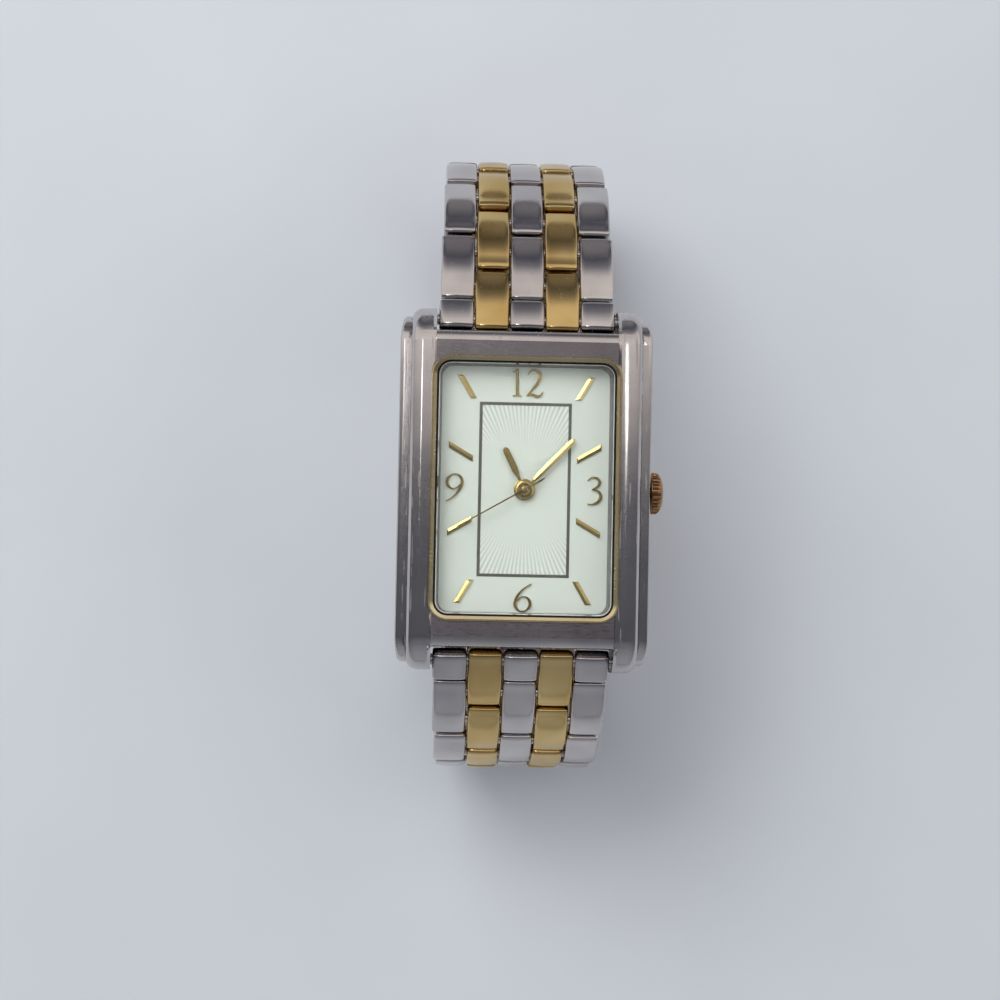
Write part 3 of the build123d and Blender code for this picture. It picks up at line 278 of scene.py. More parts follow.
def wound_wire():
    """Enamelled copper wire, wound: fine turns across the coil, with a varnish gloss. Each turn is lighter on
    its crest and darker in the groove beside it, as painted highlight and shade.
    """
    # The real turns are some 0.02 mm apart. These are drawn about 0.4 mm apart, so that they show
    material, tree, output, place = new_material("enamelled_wire")
    turns = add_node(tree, "ShaderNodeTexWave", {
        "Vector": place, "Scale": 1 / (1.2 * MM), "Distortion": 0.4}, bands_direction="X").outputs["Fac"]
    # Painted highlight on each turn's crest and painted shade in the grooves between turns
    tone = add_node(tree, "ShaderNodeValToRGB", {"Fac": turns}, ((0.2, "#7C3A1C"), (0.8, "#C9743F")))
    bump = add_node(tree, "ShaderNodeBump", {"Height": turns, "Strength": 0.7, "Distance": 0.03 * MM})
    shader = add_node(tree, "ShaderNodeBsdfPrincipled", {
        "Base Color": tone, "Metallic": 0.8, "Roughness": 0.35, "Coat Weight": 0.4, "Normal": bump})
    tree.links.new(shader.outputs["BSDF"], output.inputs["Surface"])
    return material


def floor_paint():
    """Plain pale painted board with a faint mottle, dull enough to show only a soft shadow."""
    material, tree, output, place = new_material("floor_paint")
    mottle = add_node(tree, "ShaderNodeTexNoise", {"Vector": place, "Scale": 1 / (30 * MM), "Detail": 3.0})
    tone = add_node(tree, "ShaderNodeValToRGB", {"Fac": mottle}, ((0.3, "#D3D8DF"), (0.7, colours().floor)))
    shader = add_node(tree, "ShaderNodeBsdfPrincipled", {
        "Base Color": tone, "Roughness": 0.85, "Specular IOR Level": 0.2})
    tree.links.new(shader.outputs["BSDF"], output.inputs["Surface"])
    return material


finishes = {}


def make_finishes():
    """All finishes, keyed by the name that the operators use."""
    # Stainless steel, polished on a felt wheel: nearly a mirror, with fine rub marks about 0.25 mm apart
    finishes["steel"] = polished_metal(
        "polished_stainless_steel", colours().steel, "#B9B4B4", 0.11, 0.25, marks=0.5)
    # The same steel on the case, which carries more scratches
    finishes["case_steel"] = polished_metal(
        "polished_case_steel", colours().steel, "#B9B4B4", 0.12, 0.25, marks=1.0)
    # The case's end panels and the wall round the dial: the same steel, satined with a fine pad so that it
    # spreads the light, in a darker colour that is painted shade, so that they look darker and duller than
    # the rails
    finishes["satin_steel_painted_shade"] = polished_metal(
        "satin_steel_painted_shade", "#908A8D", "#807A7E", 0.30, 0.20, grain=(0.2, 1, 1), marks=0.35)
    # The same steel after a belt: straight fine lines along the watch, drawn coarser than the real 0.02 mm
    finishes["brushed"] = polished_metal(
        "brushed_stainless_steel", "#C8C5C2", "#B2AEAA", 0.30, 0.16, grain=(1, 0.05, 1))
    # Gold-tone vapour plating on polished steel: yellow, a little softer than the bare metal
    finishes["gilt"] = polished_metal("gold_tone_plating", colours().gilt, "#C4A468", 0.14, 0.25, marks=0.4)
    # The rim's plating on polished steel: paler, because its coat is thinner
    finishes["pale_gilt"] = polished_metal("pale_gold_plating", "#E0D2AC", "#D2C198", 0.20, 0.20, marks=0.3)
    # The crown's plating, rubbed by fingers: redder and darker, where the gold layer has worn thin
    finishes["worn_gilt"] = polished_metal("worn_gold_plating", "#B08A62", "#8A6848", 0.18, 0.15, marks=0.6)
    # Gilt brass of the markers and hands, cut with a diamond tool: flat facets that flash one by one
    finishes["cut_gilt"] = polished_metal("diamond_cut_gilt", colours().marker, "#B8A269", 0.16, 0.10)
    # Dark gilt ink, silk-screened: matt, with a fine tooth
    finishes["print"] = moulded("dark_gilt_ink", colours().print, "#4E4F44", 0.45, 0.12)
    finishes["dial"] = dial_lacquer()
    finishes["glass"] = mineral_glass()
    # Nitrile rubber O-rings: dark and dull, with a faint bloom
    finishes["rubber"] = moulded("nitrile_rubber", "#1D1D1E", "#131314", 0.75, 0.15)
    # Injection-moulded acetal ring that holds the movement: off-white, with a low even sheen
    finishes["plastic"] = moulded("moulded_acetal", "#DCDCD7", "#D0D0CB", 0.50, 0.30)
    # Glass-epoxy board under a green solder mask: smooth, with a soft gloss
    finishes["board"] = moulded("solder_mask", "#1E6B3C", "#175730", 0.35, 0.20)
    # Nickel-plated brass of the movement, finely grained
    finishes["movement"] = polished_metal("nickel_plated_brass", "#D6C49A", "#BFAA7C", 0.28, 0.12)
    # Drawn steel of the cell, the quartz can and the stem: an even grey, duller than the case
    finishes["can"] = polished_metal("drawn_steel", "#BDBDBD", "#A8A8A8", 0.26, 0.20)
    finishes["wire"] = wound_wire()


# Meshes

def piece_from(bm, name, finish, smooth=35):
    """A new object from a bmesh, smooth up to an angle in degrees."""
    bmesh.ops.recalc_face_normals(bm, faces=bm.faces)
    mesh = bpy.data.meshes.new(name)
    bm.to_mesh(mesh)
    bm.free()
    mesh.shade_smooth()
    mesh.set_sharp_from_angle(angle=radians(smooth))
    piece = bpy.data.objects.new(name, mesh)
    bpy.context.scene.collection.objects.link(piece)
    mesh.materials.clear()
    mesh.materials.append(finishes[finish])
    return piece


def settle(piece, body, slot, *nodes):
    """Ride on a body and stand for solids. The slot is not used."""
    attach(piece, body)
    if nodes:
        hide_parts(*nodes)


def welded(node):
    """A solid's own shape as one welded mesh, with flat faces made whole again."""
    bm = bmesh.new()
    bm.from_mesh(frame["nodes"][node].data)
    bmesh.ops.remove_doubles(bm, verts=bm.verts, dist=0.002 * MM)
    bmesh.ops.dissolve_limit(bm, angle_limit=radians(0.6), verts=bm.verts, edges=bm.edges)
    return bm


def soft_edged(bm, name, finish, edge):
    """A piece whose sharp edges are rounded a little, so that they catch the light."""
    piece = piece_from(bm, name, finish)
    soft = piece.modifiers.new("soft edges", "BEVEL")
    soft.width = edge
    soft.segments = 2
    soft.limit_method = "ANGLE"
    soft.angle_limit = radians(40)
    soft.harden_normals = True
    even = piece.modifiers.new("even shading", "WEIGHTED_NORMAL")
    even.keep_sharp = True
    return piece


def arc(centre, radius, start, end, steps):
    """Points along an arc in degrees, both ends included."""
    return [(centre[0] + radius * cos(radians(start + (end - start) * step / steps)),
             centre[1] + radius * sin(radians(start + (end - start) * step / steps)))
            for step in range(steps + 1)]


def bridge(bm, loops, caps=True):
    """Join a row of equal closed loops of points into a skin. A face closes each end unless caps is off."""
    rings = [[bm.verts.new(point) for point in loop] for loop in loops]
    count = len(rings[0])
    for first, second in zip(rings, rings[1:]):
        for place in range(count):
            after = (place + 1) % count
            bm.faces.new((first[place], first[after], second[after], second[place]))
    if caps:
        bm.faces.new(rings[0])
        bm.faces.new(rings[-1])


def rounded_loop(half_x, half_y, radius, z, steps=10):
    """A rounded rectangle at one height, anticlockwise."""
    points = []
    for turn, (sign_x, sign_y) in enumerate(((1, 1), (-1, 1), (-1, -1), (1, -1))):
        centre = (sign_x * (half_x - radius), sign_y * (half_y - radius))
        points += arc(centre, radius, 90 * turn, 90 * turn + 90, steps)
    return [(x, y, z) for x, y in points]


def swept_frame(half_x, half_y, radius, profile):
    """A frame whose profile is (outward, height) points, swept round a rounded rectangle."""
    bm = bmesh.new()
    loops = [rounded_loop(half_x + out, half_y + out, radius + out, z) for out, z in profile]
    loops.append(loops[0])
    bridge(bm, loops, caps=False)
    bmesh.ops.remove_doubles(bm, verts=bm.verts, dist=1e-7)
    return bm


# Bracelet links

LINK_THICK = 2.5 * MM
LINK_REACH = 1.875 * MM
LINK_WIDTH = 3.3 * MM
LINK_GAP = 0.13 * MM


def link_outline(first, last, reach_first, reach_last, thick, radius, edge, inset):
    """Side view of a link as (along, outward) points; inset draws the whole outline in."""
    dip_first = degrees(asin(min(0.98, thick / 2 / reach_first)))
    dip_last = degrees(asin(min(0.98, thick / 2 / reach_last)))
    start = first - reach_first + inset
    end = last + reach_last - inset
    middle = (start + end) / 2
    half = (end - start) / 2
    top = thick / 2 - inset

    def crest(along):
        return top - (along - middle) ** 2 / (2 * radius)

    # The end nearer the case is rounded over a longer stretch
    drop = edge * 1.2
    near = min(edge * 3.0, half * 0.6)
    far = edge * 1.2
    points = []
    steps = 12
    for step in range(steps + 1):
        along = start + near + (end - start - near - far) * step / steps
        points.append((along, crest(along)))
    shoulder = crest(end - far)
    points += [(end - far + far * sin(radians(a)), shoulder - drop + drop * cos(radians(a)))
               for a in (20, 40, 60, 76, 90)]
    points += arc((last, 0), end - last, 0, -dip_last, 4)
    points += arc((first, 0), first - start, 180 + dip_first, 180, 4)
    shoulder = crest(start + near)
    points += [(start + near - near * cos(radians(a)), shoulder - drop + drop * sin(radians(a)))
               for a in (0, 14, 30, 50, 70)]
    return points


def link_blank(name, first, last, reach_first, reach_last, thick, width, finish):
    """One pillowed link: its outline drawn in towards both sides, so every edge is round."""
    edge = sizes().link_edge
    radius = sizes().link_round
    side_crown = sizes().link_side_crown
    bm = bmesh.new()
    loops = []
    stations = [(-1, angle) for angle in (0, 25, 50, 70)]
    stations += [(0, share) for share in (-0.8, -0.5, -0.2, 0.2, 0.5, 0.8)]
    stations += [(1, angle) for angle in (70, 50, 25, 0)]
    for side, value in stations:
        if side:
            x = side * (width / 2 - edge + edge * cos(radians(value)))
            inset = edge * (1 - sin(radians(value)))
        else:
            x = value * (width / 2 - edge)
            inset = 0
        drop = side_crown * abs(2 * x / width) ** 2.2
        outline = link_outline(first, last, reach_first, reach_last, thick, radius, edge, inset)
        loops.append([(x, along, out - drop * max(0, out) / (thick / 2)) for along, out in outline])
    bridge(bm, loops)
    return piece_from(bm, name, finish, smooth=50)


def group_socket(tree, name, kind, value=None):
    """A named input of a geometry tree."""
    socket = tree.interface.new_socket(name, in_out="INPUT", socket_type=kind)
    if value is not None:
        socket.default_value = value
    return socket


def finish_group(tree, parts, given, turn):
    """Close a tree: join its parts, place them, make them real and give them their finish."""
    both = add_node(tree, "GeometryNodeJoinGeometry")
    for part in parts:
        tree.links.new(part, both.inputs["Geometry"])
    placed = add_node(tree, "GeometryNodeTransform", {
        "Geometry": both, "Translation": given["Place"], "Rotation": turn})
    real = add_node(tree, "GeometryNodeRealizeInstances", {"Geometry": placed})
    done = add_node(tree, "GeometryNodeSetMaterial", {"Geometry": real, "Material": given["Finish"]})
    add_node(tree, "NodeGroupOutput", {"Geometry": done})


def row_tree():
    """Geometry nodes for one bracelet row: links side by side, with pins through them where asked."""
    tree = bpy.data.node_groups.new("bracelet_row", "GeometryNodeTree")
    tree.interface.new_socket("Geometry", in_out="INPUT", socket_type="NodeSocketGeometry")
    for name, kind, value in (
            ("Link", "NodeSocketObject", None), ("Links Across", "NodeSocketInt", 3),
            ("Spacing", "NodeSocketFloat", 7.4 * MM), ("Link Width", "NodeSocketFloat", 1.0),
            ("Pins", "NodeSocketInt", 0), ("Pin Radius", "NodeSocketFloat", 0.5 * MM),
            ("Pin Length", "NodeSocketFloat", 17 * MM), ("Pin Pitch", "NodeSocketFloat", 4 * MM),
            ("Turn", "NodeSocketVector", None), ("Place", "NodeSocketVector", None),
            ("Finish", "NodeSocketMaterial", None)):
        group_socket(tree, name, kind, value)
    tree.interface.new_socket("Geometry", in_out="OUTPUT", socket_type="NodeSocketGeometry")
    given = add_node(tree, "NodeGroupInput").outputs
    count = given["Links Across"]
    gaps = add_node(tree, "ShaderNodeMath", {0: count, 1: 1.0}, operation="SUBTRACT")
    span = add_node(tree, "ShaderNodeMath", {0: gaps, 1: given["Spacing"]}, operation="MULTIPLY")
    left = add_node(tree, "ShaderNodeMath", {0: span, 1: -0.5}, operation="MULTIPLY")
    start = add_node(tree, "ShaderNodeCombineXYZ", {"X": left})
    step = add_node(tree, "ShaderNodeCombineXYZ", {"X": given["Spacing"]})
    line = add_node(tree, "GeometryNodeMeshLine", {"Count": count, "Start Location": start, "Offset": step})
    link = add_node(tree, "GeometryNodeObjectInfo", {"Object": given["Link"]}).outputs["Geometry"]
    wide = add_node(tree, "ShaderNodeCombineXYZ", {"X": given["Link Width"], "Y": 1.0, "Z": 1.0})
    links = add_node(tree, "GeometryNodeInstanceOnPoints", {"Points": line, "Instance": link, "Scale": wide})
    pin = add_node(tree, "GeometryNodeMeshCylinder", {
        "Vertices": 24, "Radius": given["Pin Radius"], "Depth": given["Pin Length"]})
    pin_step = add_node(tree, "ShaderNodeCombineXYZ", {"Y": given["Pin Pitch"]})
    pin_line = add_node(tree, "GeometryNodeMeshLine", {"Count": given["Pins"], "Offset": pin_step})
    pins = add_node(tree, "GeometryNodeInstanceOnPoints", {
        "Points": pin_line, "Instance": pin, "Rotation": (0, pi / 2, 0)})
    finish_group(tree, (links.outputs["Instances"], pins.outputs["Instances"]), given, given["Turn"])
    return tree


def grown(tree, name, values, smooth=35):
    """Run a geometry tree on an empty mesh with these inputs, and keep the result as a plain mesh."""
    carrier = bpy.data.objects.new(name, bpy.data.meshes.new(name + "_seed"))
    bpy.context.scene.collection.objects.link(carrier)
    modifier = carrier.modifiers.new("grow", "NODES")
    modifier.node_group = tree
    for item in tree.interface.items_tree:
        if item.item_type == "SOCKET" and item.in_out == "INPUT" and item.name in values:
            modifier[item.identifier] = values[item.name]
    bpy.context.view_layer.update()
    grown_mesh = bpy.data.meshes.new_from_object(carrier.evaluated_get(bpy.context.evaluated_depsgraph_get()))
    carrier.modifiers.clear()
    carrier.data = grown_mesh
    grown_mesh.name = name
    grown_mesh.set_sharp_from_angle(angle=radians(smooth))
    return carrier


def pin_place(name):
    """Where a joint's pin is, at rest."""
    return Vector(joints[name]["pos_m"])


def row_pins(side):
    """The pin positions of one half of the bracelet, from the joints, and the heading of each row."""
    label = "12" if side > 0 else "6"
    pins = [pin_place(f"bracelet_{label}_fold")]
    number = 1
    while f"row_{label}_{number:02d}_pivot" in joints:
        pins.append(pin_place(f"row_{label}_{number:02d}_pivot"))
        number += 1
    if side < 0:
        pins.append(pin_place("inner_blade_pivot"))
    headings = []
    for first, second in zip(pins, pins[1:]):
        headings.append(atan2(first.z - second.z, side * (second.y - first.y)))
    while len(headings) < number:
        headings.append(2 * headings[-1] - headings[-2])
    return pins, headings


def link_spread(node, across):
    """Width and spacing of the links in a row of five columns, from the solid's own width."""
    low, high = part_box(node)
    columns = 5 if across == 3 else 3
    width = (high.x - low.x - (columns - 1) * LINK_GAP) / columns
    return width, 2 * (width + LINK_GAP)


def build_row(tree, blanks, node, across, place, heading, turn_round, pitch):
    """One row between its pins: three steel links on two pins, or two gilt links."""
    kind = "steel" if across == 3 else "gilt"
    low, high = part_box(node)
    width, spacing = link_spread(node, across)
    piece = grown(tree, f"{node}_links", {
        "Link": blanks[kind], "Links Across": across, "Spacing": spacing, "Link Width": width / LINK_WIDTH,
        "Pins": 2 if kind == "steel" else 0, "Pin Radius": sizes().link_pin,
        "Pin Length": high.x - low.x - 0.5 * MM, "Pin Pitch": pitch, "Turn": (-heading, 0, turn_round),
        "Place": place, "Finish": finishes[kind]}, smooth=50)
    settle(piece, node, "polished_steel" if kind == "steel" else "gilt", node)


def build_rows():
    """Every bracelet row and end link, each on its own body."""
    tree = row_tree()
    pitch = (pin_place("row_12_02_pivot") - pin_place("row_12_01_pivot")).length
    near = LINK_REACH + sizes().gilt_shift
    far = LINK_REACH - sizes().gilt_shift
    blanks = {kind: link_blank(f"{kind}_link_blank", 0, pitch, *reaches, LINK_THICK, LINK_WIDTH, kind)
              for kind, reaches in (("steel", (LINK_REACH, LINK_REACH)), ("gilt", (near, far)))}
    for side, label in ((1, "12"), (-1, "6")):
        pins, headings = row_pins(side)
        turn_round = 0 if side > 0 else pi
        for index in range(1, len(headings)):
            build_row(tree, blanks, f"row_{label}_{index:02d}", 3 if index % 2 else 2, pins[index],
                      headings[index], turn_round, pitch)
        end_pitch = (pins[1] - pins[0]).length
        for kind, across, last, reach_last in (("steel", 3, end_pitch - pitch, LINK_REACH),
                                               ("gilt", 2, end_pitch, far)):
            node = f"end_link_{label}_{kind}"
            width, spacing = link_spread(node, across)
            blank = link_blank(f"{node}_blank", 0, last, LINK_THICK / 2, reach_last, LINK_THICK, width, kind)
            piece = grown(tree, f"{node}_links", {
                "Link": blank, "Links Across": across, "Spacing": spacing, "Link Width": 1.0, "Pins": 0,
                "Turn": (-headings[0], 0, turn_round), "Place": pins[0], "Finish": finishes[kind]}, smooth=50)
            settle(piece, f"end_link_{label}", "polished_steel" if kind == "steel" else "gilt", node)
            bpy.data.objects.remove(blank)
    for blank in blanks.values():
        bpy.data.objects.remove(blank)


# Crown

def crown_tree():
    """Geometry nodes for the crown: a turned body with ribs set round it."""
    tree = bpy.data.node_groups.new("ribbed_crown", "GeometryNodeTree")
    tree.interface.new_socket("Geometry", in_out="INPUT", socket_type="NodeSocketGeometry")
    for name, kind, value in (
            ("Core", "NodeSocketObject", None), ("Rib", "NodeSocketObject", None),
            ("Ribs", "NodeSocketInt", 28), ("Radius", "NodeSocketFloat", 2 * MM),
            ("Place", "NodeSocketVector", None), ("Finish", "NodeSocketMaterial", None)):
        group_socket(tree, name, kind, value)
    tree.interface.new_socket("Geometry", in_out="OUTPUT", socket_type="NodeSocketGeometry")
    given = add_node(tree, "NodeGroupInput").outputs
    core = add_node(tree, "GeometryNodeObjectInfo", {"Object": given["Core"]}).outputs["Geometry"]
    rib = add_node(tree, "GeometryNodeObjectInfo", {"Object": given["Rib"]}).outputs["Geometry"]
    circle = add_node(tree, "GeometryNodeMeshCircle", {"Vertices": given["Ribs"], "Radius": given["Radius"]})
    number = add_node(tree, "GeometryNodeInputIndex")
    share = add_node(tree, "ShaderNodeMath", {0: number, 1: given["Ribs"]}, operation="DIVIDE")
    angle = add_node(tree, "ShaderNodeMath", {0: share, 1: 2 * pi}, operation="MULTIPLY")
    turn = add_node(tree, "ShaderNodeCombineXYZ", {"Z": angle})
    ribs = add_node(tree, "GeometryNodeInstanceOnPoints", {
        "Points": circle, "Instance": rib, "Rotation": turn})
    finish_group(tree, (core, ribs.outputs["Instances"]), given, (0, pi / 2, 0))
    return tree


def turned(profile, name, finish, steps=72):
    """A body turned about Z from (radius, height) points."""
    bm = bmesh.new()
    loops = []
    for radius, height in profile:
        loops.append([(radius * cos(2 * pi * step / steps), radius * sin(2 * pi * step / steps), height)
                      for step in range(steps)])
    bridge(bm, loops)
    return piece_from(bm, name, finish)


def build_crown():
    """The crown: a domed core with ribs round its skirt."""
    low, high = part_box("crown")
    radius = (high.z - low.z) / 2
    height = (high.z + low.z) / 2
    skirt = joints["crown_turn"]["pos_m"][0]
    length = high.x - skirt
    hub = 0.80 * MM
    core_radius = radius - 0.25 * MM
    dome_start = length * 0.58
    dome_radius = core_radius - 0.03 * MM
    # Profile as (radius, height): hub, skirt ring, ribbed band, then the dome
    profile = [(0.46 * MM, low.x - skirt), (hub, low.x - skirt), (hub, 0), (core_radius, 0),
               (radius - 0.04 * MM, 0.02 * MM), (radius, 0.06 * MM), (radius - 0.02 * MM, 0.12 * MM),
               (core_radius, 0.18 * MM), (core_radius, length * 0.50), (dome_radius, dome_start)]
    for angle in range(15, 90, 15):
        profile.append((dome_radius * cos(radians(angle)) ** 0.8,
                        dome_start + (length - dome_start) * sin(radians(angle))))
    profile.append((0.05 * MM, length))
    core = turned(profile, "crown_core_blank", "worn_gilt")
    # A rib's section as (sideways, outward) from the core, in millimetres, fading out along the dome
    bm = bmesh.new()
    rib_profile = [(-0.15, -0.12), (-0.13, 0.08), (-0.07, 0.20), (0, 0.235), (0.07, 0.20), (0.13, 0.08),
                   (0.15, -0.12)]
    loops = []
    for along, share, sink in ((0.14, 0.75, 0), (0.20, 1.0, 0), (0.62, 1.0, 0), (0.80, 0.9, 0.05),
                               (0.98, 0.6, 0.17)):
        loops.append([((out * share - sink) * MM, side * share ** 0.5 * MM, along * MM)
                      for side, out in rib_profile])
    bridge(bm, loops)
    rib = piece_from(bm, "crown_rib_blank", "worn_gilt")
    piece = grown(crown_tree(), "crown_ribbed", {
        "Core": core, "Rib": rib, "Ribs": sizes().crown_flutes, "Radius": core_radius,
        "Place": (skirt, 0, height), "Finish": finishes["worn_gilt"]})
    bpy.data.objects.remove(core)
    bpy.data.objects.remove(rib)
    settle(piece, "crown_and_stem", "gilt", "crown")


# Case, rim and crystal

# Places on the case middle in millimetres, as in the solids: heights from the back, the rest from its middle
DIAL_TOP = 4.7
DIAL_WALL = (9.0, 13.1)
PANEL_HALF_WIDTH = 9.45
PANEL_TOP = 7.2
PANEL_EDGE = 15.35
BEVEL_LENGTH = 1.1
BEVEL_SLOPE = 0.18
BEVEL_ROLL = 0.82
RAIL_RIDGE = 10.8
RAIL_HALF_LENGTH = 18.9
RAIL_STEP = 12.0
RAIL_CORNER = 15.2
CORNER_LENGTH = 2.95
CORNER_DRAW = 0.35
# The rails' tops take all of their fall, and what is below this height takes none
FALL_FROM = 4.0
FALL_RISE = 3.4
# New edges that let the rails' tops and the bevels bend
CUTS_ACROSS = (9.8, 10.15, 10.5, 10.8)
CUTS_ALONG = (4, 8, 12, 15.55, 15.75, 15.95, 16.1, 16.25, 16.35)


def polished_case():
    """The case middle: rails polished to a soft round, rolled bevels, and satin panels and dial wall in a
    darker steel that paints their shade.
    """
    bm = welded("case_body")
    cuts = [((1, 0, 0), side * place * MM) for side in (1, -1) for place in CUTS_ACROSS]
    cuts += [((0, 1, 0), side * place * MM) for side in (1, -1) for place in CUTS_ALONG]
    for normal, distance in cuts:
        bmesh.ops.bisect_plane(bm, geom=[*bm.verts, *bm.edges, *bm.faces], plane_no=normal,
                               plane_co=Vector(normal) * distance, dist=0.001 * MM)
    for vert in bm.verts:
        x, y, z = (value / MM for value in vert.co)
        out, along = abs(x), abs(y)
        if out > PANEL_HALF_WIDTH + 0.01 or z > PANEL_TOP + 0.05:
            # Rails: their tops fall a little lengthwise, and the tall pair falls in an arc towards the dial
            fall = sizes().rail_arch / MM * (along / RAIL_HALF_LENGTH) ** 2
            if out < RAIL_RIDGE:
                fall += sizes().rail_crown / MM * ((RAIL_RIDGE - out) / (RAIL_RIDGE - PANEL_HALF_WIDTH)) ** 2
            vert.co.z -= fall * min(1.0, max(0.0, (z - FALL_FROM) / FALL_RISE)) * MM
            # In plan their outer corners draw in
            if out > RAIL_STEP and along > RAIL_CORNER:
                draw = CORNER_DRAW * ((along - RAIL_CORNER) / CORNER_LENGTH) ** 2
                vert.co.x -= draw * (1 if x > 0 else -1) * MM
        elif along > PANEL_EDGE + 0.01 and abs(z - PANEL_TOP + (along - PANEL_EDGE) / BEVEL_LENGTH) < 0.02:
            # Panel bevels: a shallow slope that rolls over at its outer edge
            step = min(1.0, (along - PANEL_EDGE) / BEVEL_LENGTH)
            roll = 1 - (1 - step ** 3) ** (1 / 3)
            vert.co.z = (PANEL_TOP - BEVEL_SLOPE * step - BEVEL_ROLL * roll) * MM
    piece = soft_edged(bm, "case_middle", "case_steel", sizes().case_edge)
    # Second finish: satin steel whose darker colour is painted shade, for the end panels and the wall round
    # the dial
    piece.data.materials.append(finishes["satin_steel_painted_shade"])
    for face in piece.data.polygons:
        x, y, z = face.center / MM
        on_panel_painted_shade = abs(x) < PANEL_HALF_WIDTH and abs(y) > 13 and abs(z - PANEL_TOP) < 0.01
        on_dial_wall_painted_shade = abs(x) < DIAL_WALL[0] and abs(y) < DIAL_WALL[1] and z > DIAL_TOP
        if on_panel_painted_shade or on_dial_wall_painted_shade:
            face.material_index = 1
    return piece


def build_case():
    """The case middle, the back and the two seals."""
    settle(polished_case(), "case", "polished_steel", "case_body")
    back = soft_edged(welded("case_back"), "snap_back", "brushed", sizes().case_edge)
    settle(back, "case", "polished_steel", "case_back")
    for node, name in (("back_gasket", "back_seal"), ("crystal_gasket", "crystal_seal")):
        seal = soft_edged(welded(node), name, "rubber", sizes().sheet_edge)
        settle(seal, "case", "gasket_rubber", node)


def build_rim():
    """The gilt rim: a fine bright ridge outside, and a slope that leads down to the crystal."""
    low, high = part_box("bezel_rim")
    inner_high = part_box("crystal_gasket")[1]
    width = high.x - inner_high.x
    inner_corner = 1.5 * MM
    # Section as (outward, down from the top), in millimetres
    section = ((0, 0.28), (0.03, 0.21), (0.34, 0.11), (0.37, 0.13), (0.40, 0.11), (0.43, 0.03), (0.46, 0.00),
               (0.50, 0.03))
    profile = [(0, low.z)]
    profile += [(out * MM, high.z - down * MM) for out, down in section]
    profile += [(width, high.z - 0.12 * MM), (width, low.z)]
    bm = swept_frame(inner_high.x, inner_high.y, inner_corner, profile)
    settle(piece_from(bm, "gilt_rim", "pale_gilt"), "case", "gilt", "bezel_rim")


def build_crystal():
    """The flat crystal with its narrow chamfer."""
    low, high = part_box("crystal")
    bm = bmesh.new()
    chamfer = 0.10 * MM
    corner = 1.3 * MM
    loops = [rounded_loop(high.x, high.y, corner, low.z),
             rounded_loop(high.x, high.y, corner, high.z - chamfer),
             rounded_loop(high.x - chamfer, high.y - chamfer, corner - chamfer, high.z)]
    bridge(bm, loops)
    settle(piece_from(bm, "flat_crystal", "glass", smooth=20), "case", "crystal", "crystal")


# Dial, markers and numerals

def build_dial():
    """The dial's lacquer, and the printed frame on it."""
    dial = frame["nodes"]["dial"]
    dial.data.materials.clear()
    dial.data.materials.append(finishes["dial"])
    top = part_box("dial")[1].z
    half_x, half_y = sizes().frame_half
    line = sizes().frame_line
    bm = bmesh.new()
    height = 0.02 * MM
    inner = (half_x - line / 2, half_y - line / 2)
    outer = (half_x + line / 2, half_y + line / 2)
    corners = ((1, 1), (-1, 1), (-1, -1), (1, -1))
    loops = [[(x * size[0], y * size[1], level) for x, y in corners]
             for size, level in ((inner, top), (inner, top + height), (outer, top + height), (outer, top))]
    loops.append(loops[0])
    bridge(bm, loops, caps=False)
    bmesh.ops.remove_doubles(bm, verts=bm.verts, dist=1e-8)
    settle(piece_from(bm, "dial_frame_line", "print"), "case", "gilt")


# Hour bars and numerals in millimetres. Pairs are at the sides, then at the top and bottom: how far out the
# bars end, their lengths, and how far out the numerals stand
BATON_END = (7.95, 11.85)
BATON_LENGTH = (2.90, 2.75)
BATON_WIDTH = 0.57
NUMERAL_OUT = (7.25, 11.15)


def baton_corners(hour):
    """The four corners of an hour bar, cut parallel to the dial's edge."""
    angle = radians(90 - 30 * hour)
    ray = (cos(angle), sin(angle))
    at_side = abs(ray[0]) > abs(ray[1])
    edge = 0 if at_side else 1
    across = abs(ray[edge])
    outer = BATON_END[edge] / across
    inner = outer - BATON_LENGTH[edge]
    half = BATON_WIDTH / 2 / across
    corners = []
    for distance, sign in ((inner, -1), (inner, 1), (outer, 1), (outer, -1)):
        shift = (0, sign * half) if at_side else (sign * half, 0)
        corners.append(Vector(((distance * ray[0] + shift[0]) * MM, (distance * ray[1] + shift[1]) * MM)))
    return corners


def add_baton(bm, hour, bottom, top):
    """A faceted bar: upright sides, then four slopes up to a ridge along its middle."""
    corners = baton_corners(hour)
    inner_middle = (corners[0] + corners[1]) / 2
    outer_middle = (corners[2] + corners[3]) / 2
    along = (outer_middle - inner_middle).normalized()
    edge = bottom + (top - bottom) * 0.55
    hip = along * 0.16 * MM
    low = [bm.verts.new((point.x, point.y, bottom)) for point in corners]
    mid = [bm.verts.new((point.x, point.y, edge)) for point in corners]
    ridge_in = inner_middle + hip
    ridge_out = outer_middle - hip
    first = bm.verts.new((ridge_in.x, ridge_in.y, top))
    second = bm.verts.new((ridge_out.x, ridge_out.y, top))
    bm.faces.new(low)
    for place in range(4):
        after = (place + 1) % 4
        bm.faces.new((low[place], low[after], mid[after], mid[place]))
    bm.faces.new((mid[0], mid[1], first))
    bm.faces.new((mid[1], mid[2], second, first))
    bm.faces.new((mid[2], mid[3], second))
    bm.faces.new((mid[3], mid[0], first, second))


def curve_through(points, steps=6):
    """A smooth run of (x, y, width) through the given ones."""
    padded = [points[0]] + list(points) + [points[-1]]
    run = []
    for place in range(1, len(padded) - 2):
        p0, p1, p2, p3 = padded[place - 1:place + 3]
        for step in range(steps):
            t = step / steps
            run.append(tuple(0.5 * (2 * b + (c - a) * t + (2 * a - 5 * b + 4 * c - d) * t * t
                                    + (3 * b - a - 3 * c + d) * t ** 3)
                             for a, b, c, d in zip(p0, p1, p2, p3)))
    run.append(tuple(points[-1]))
    return run


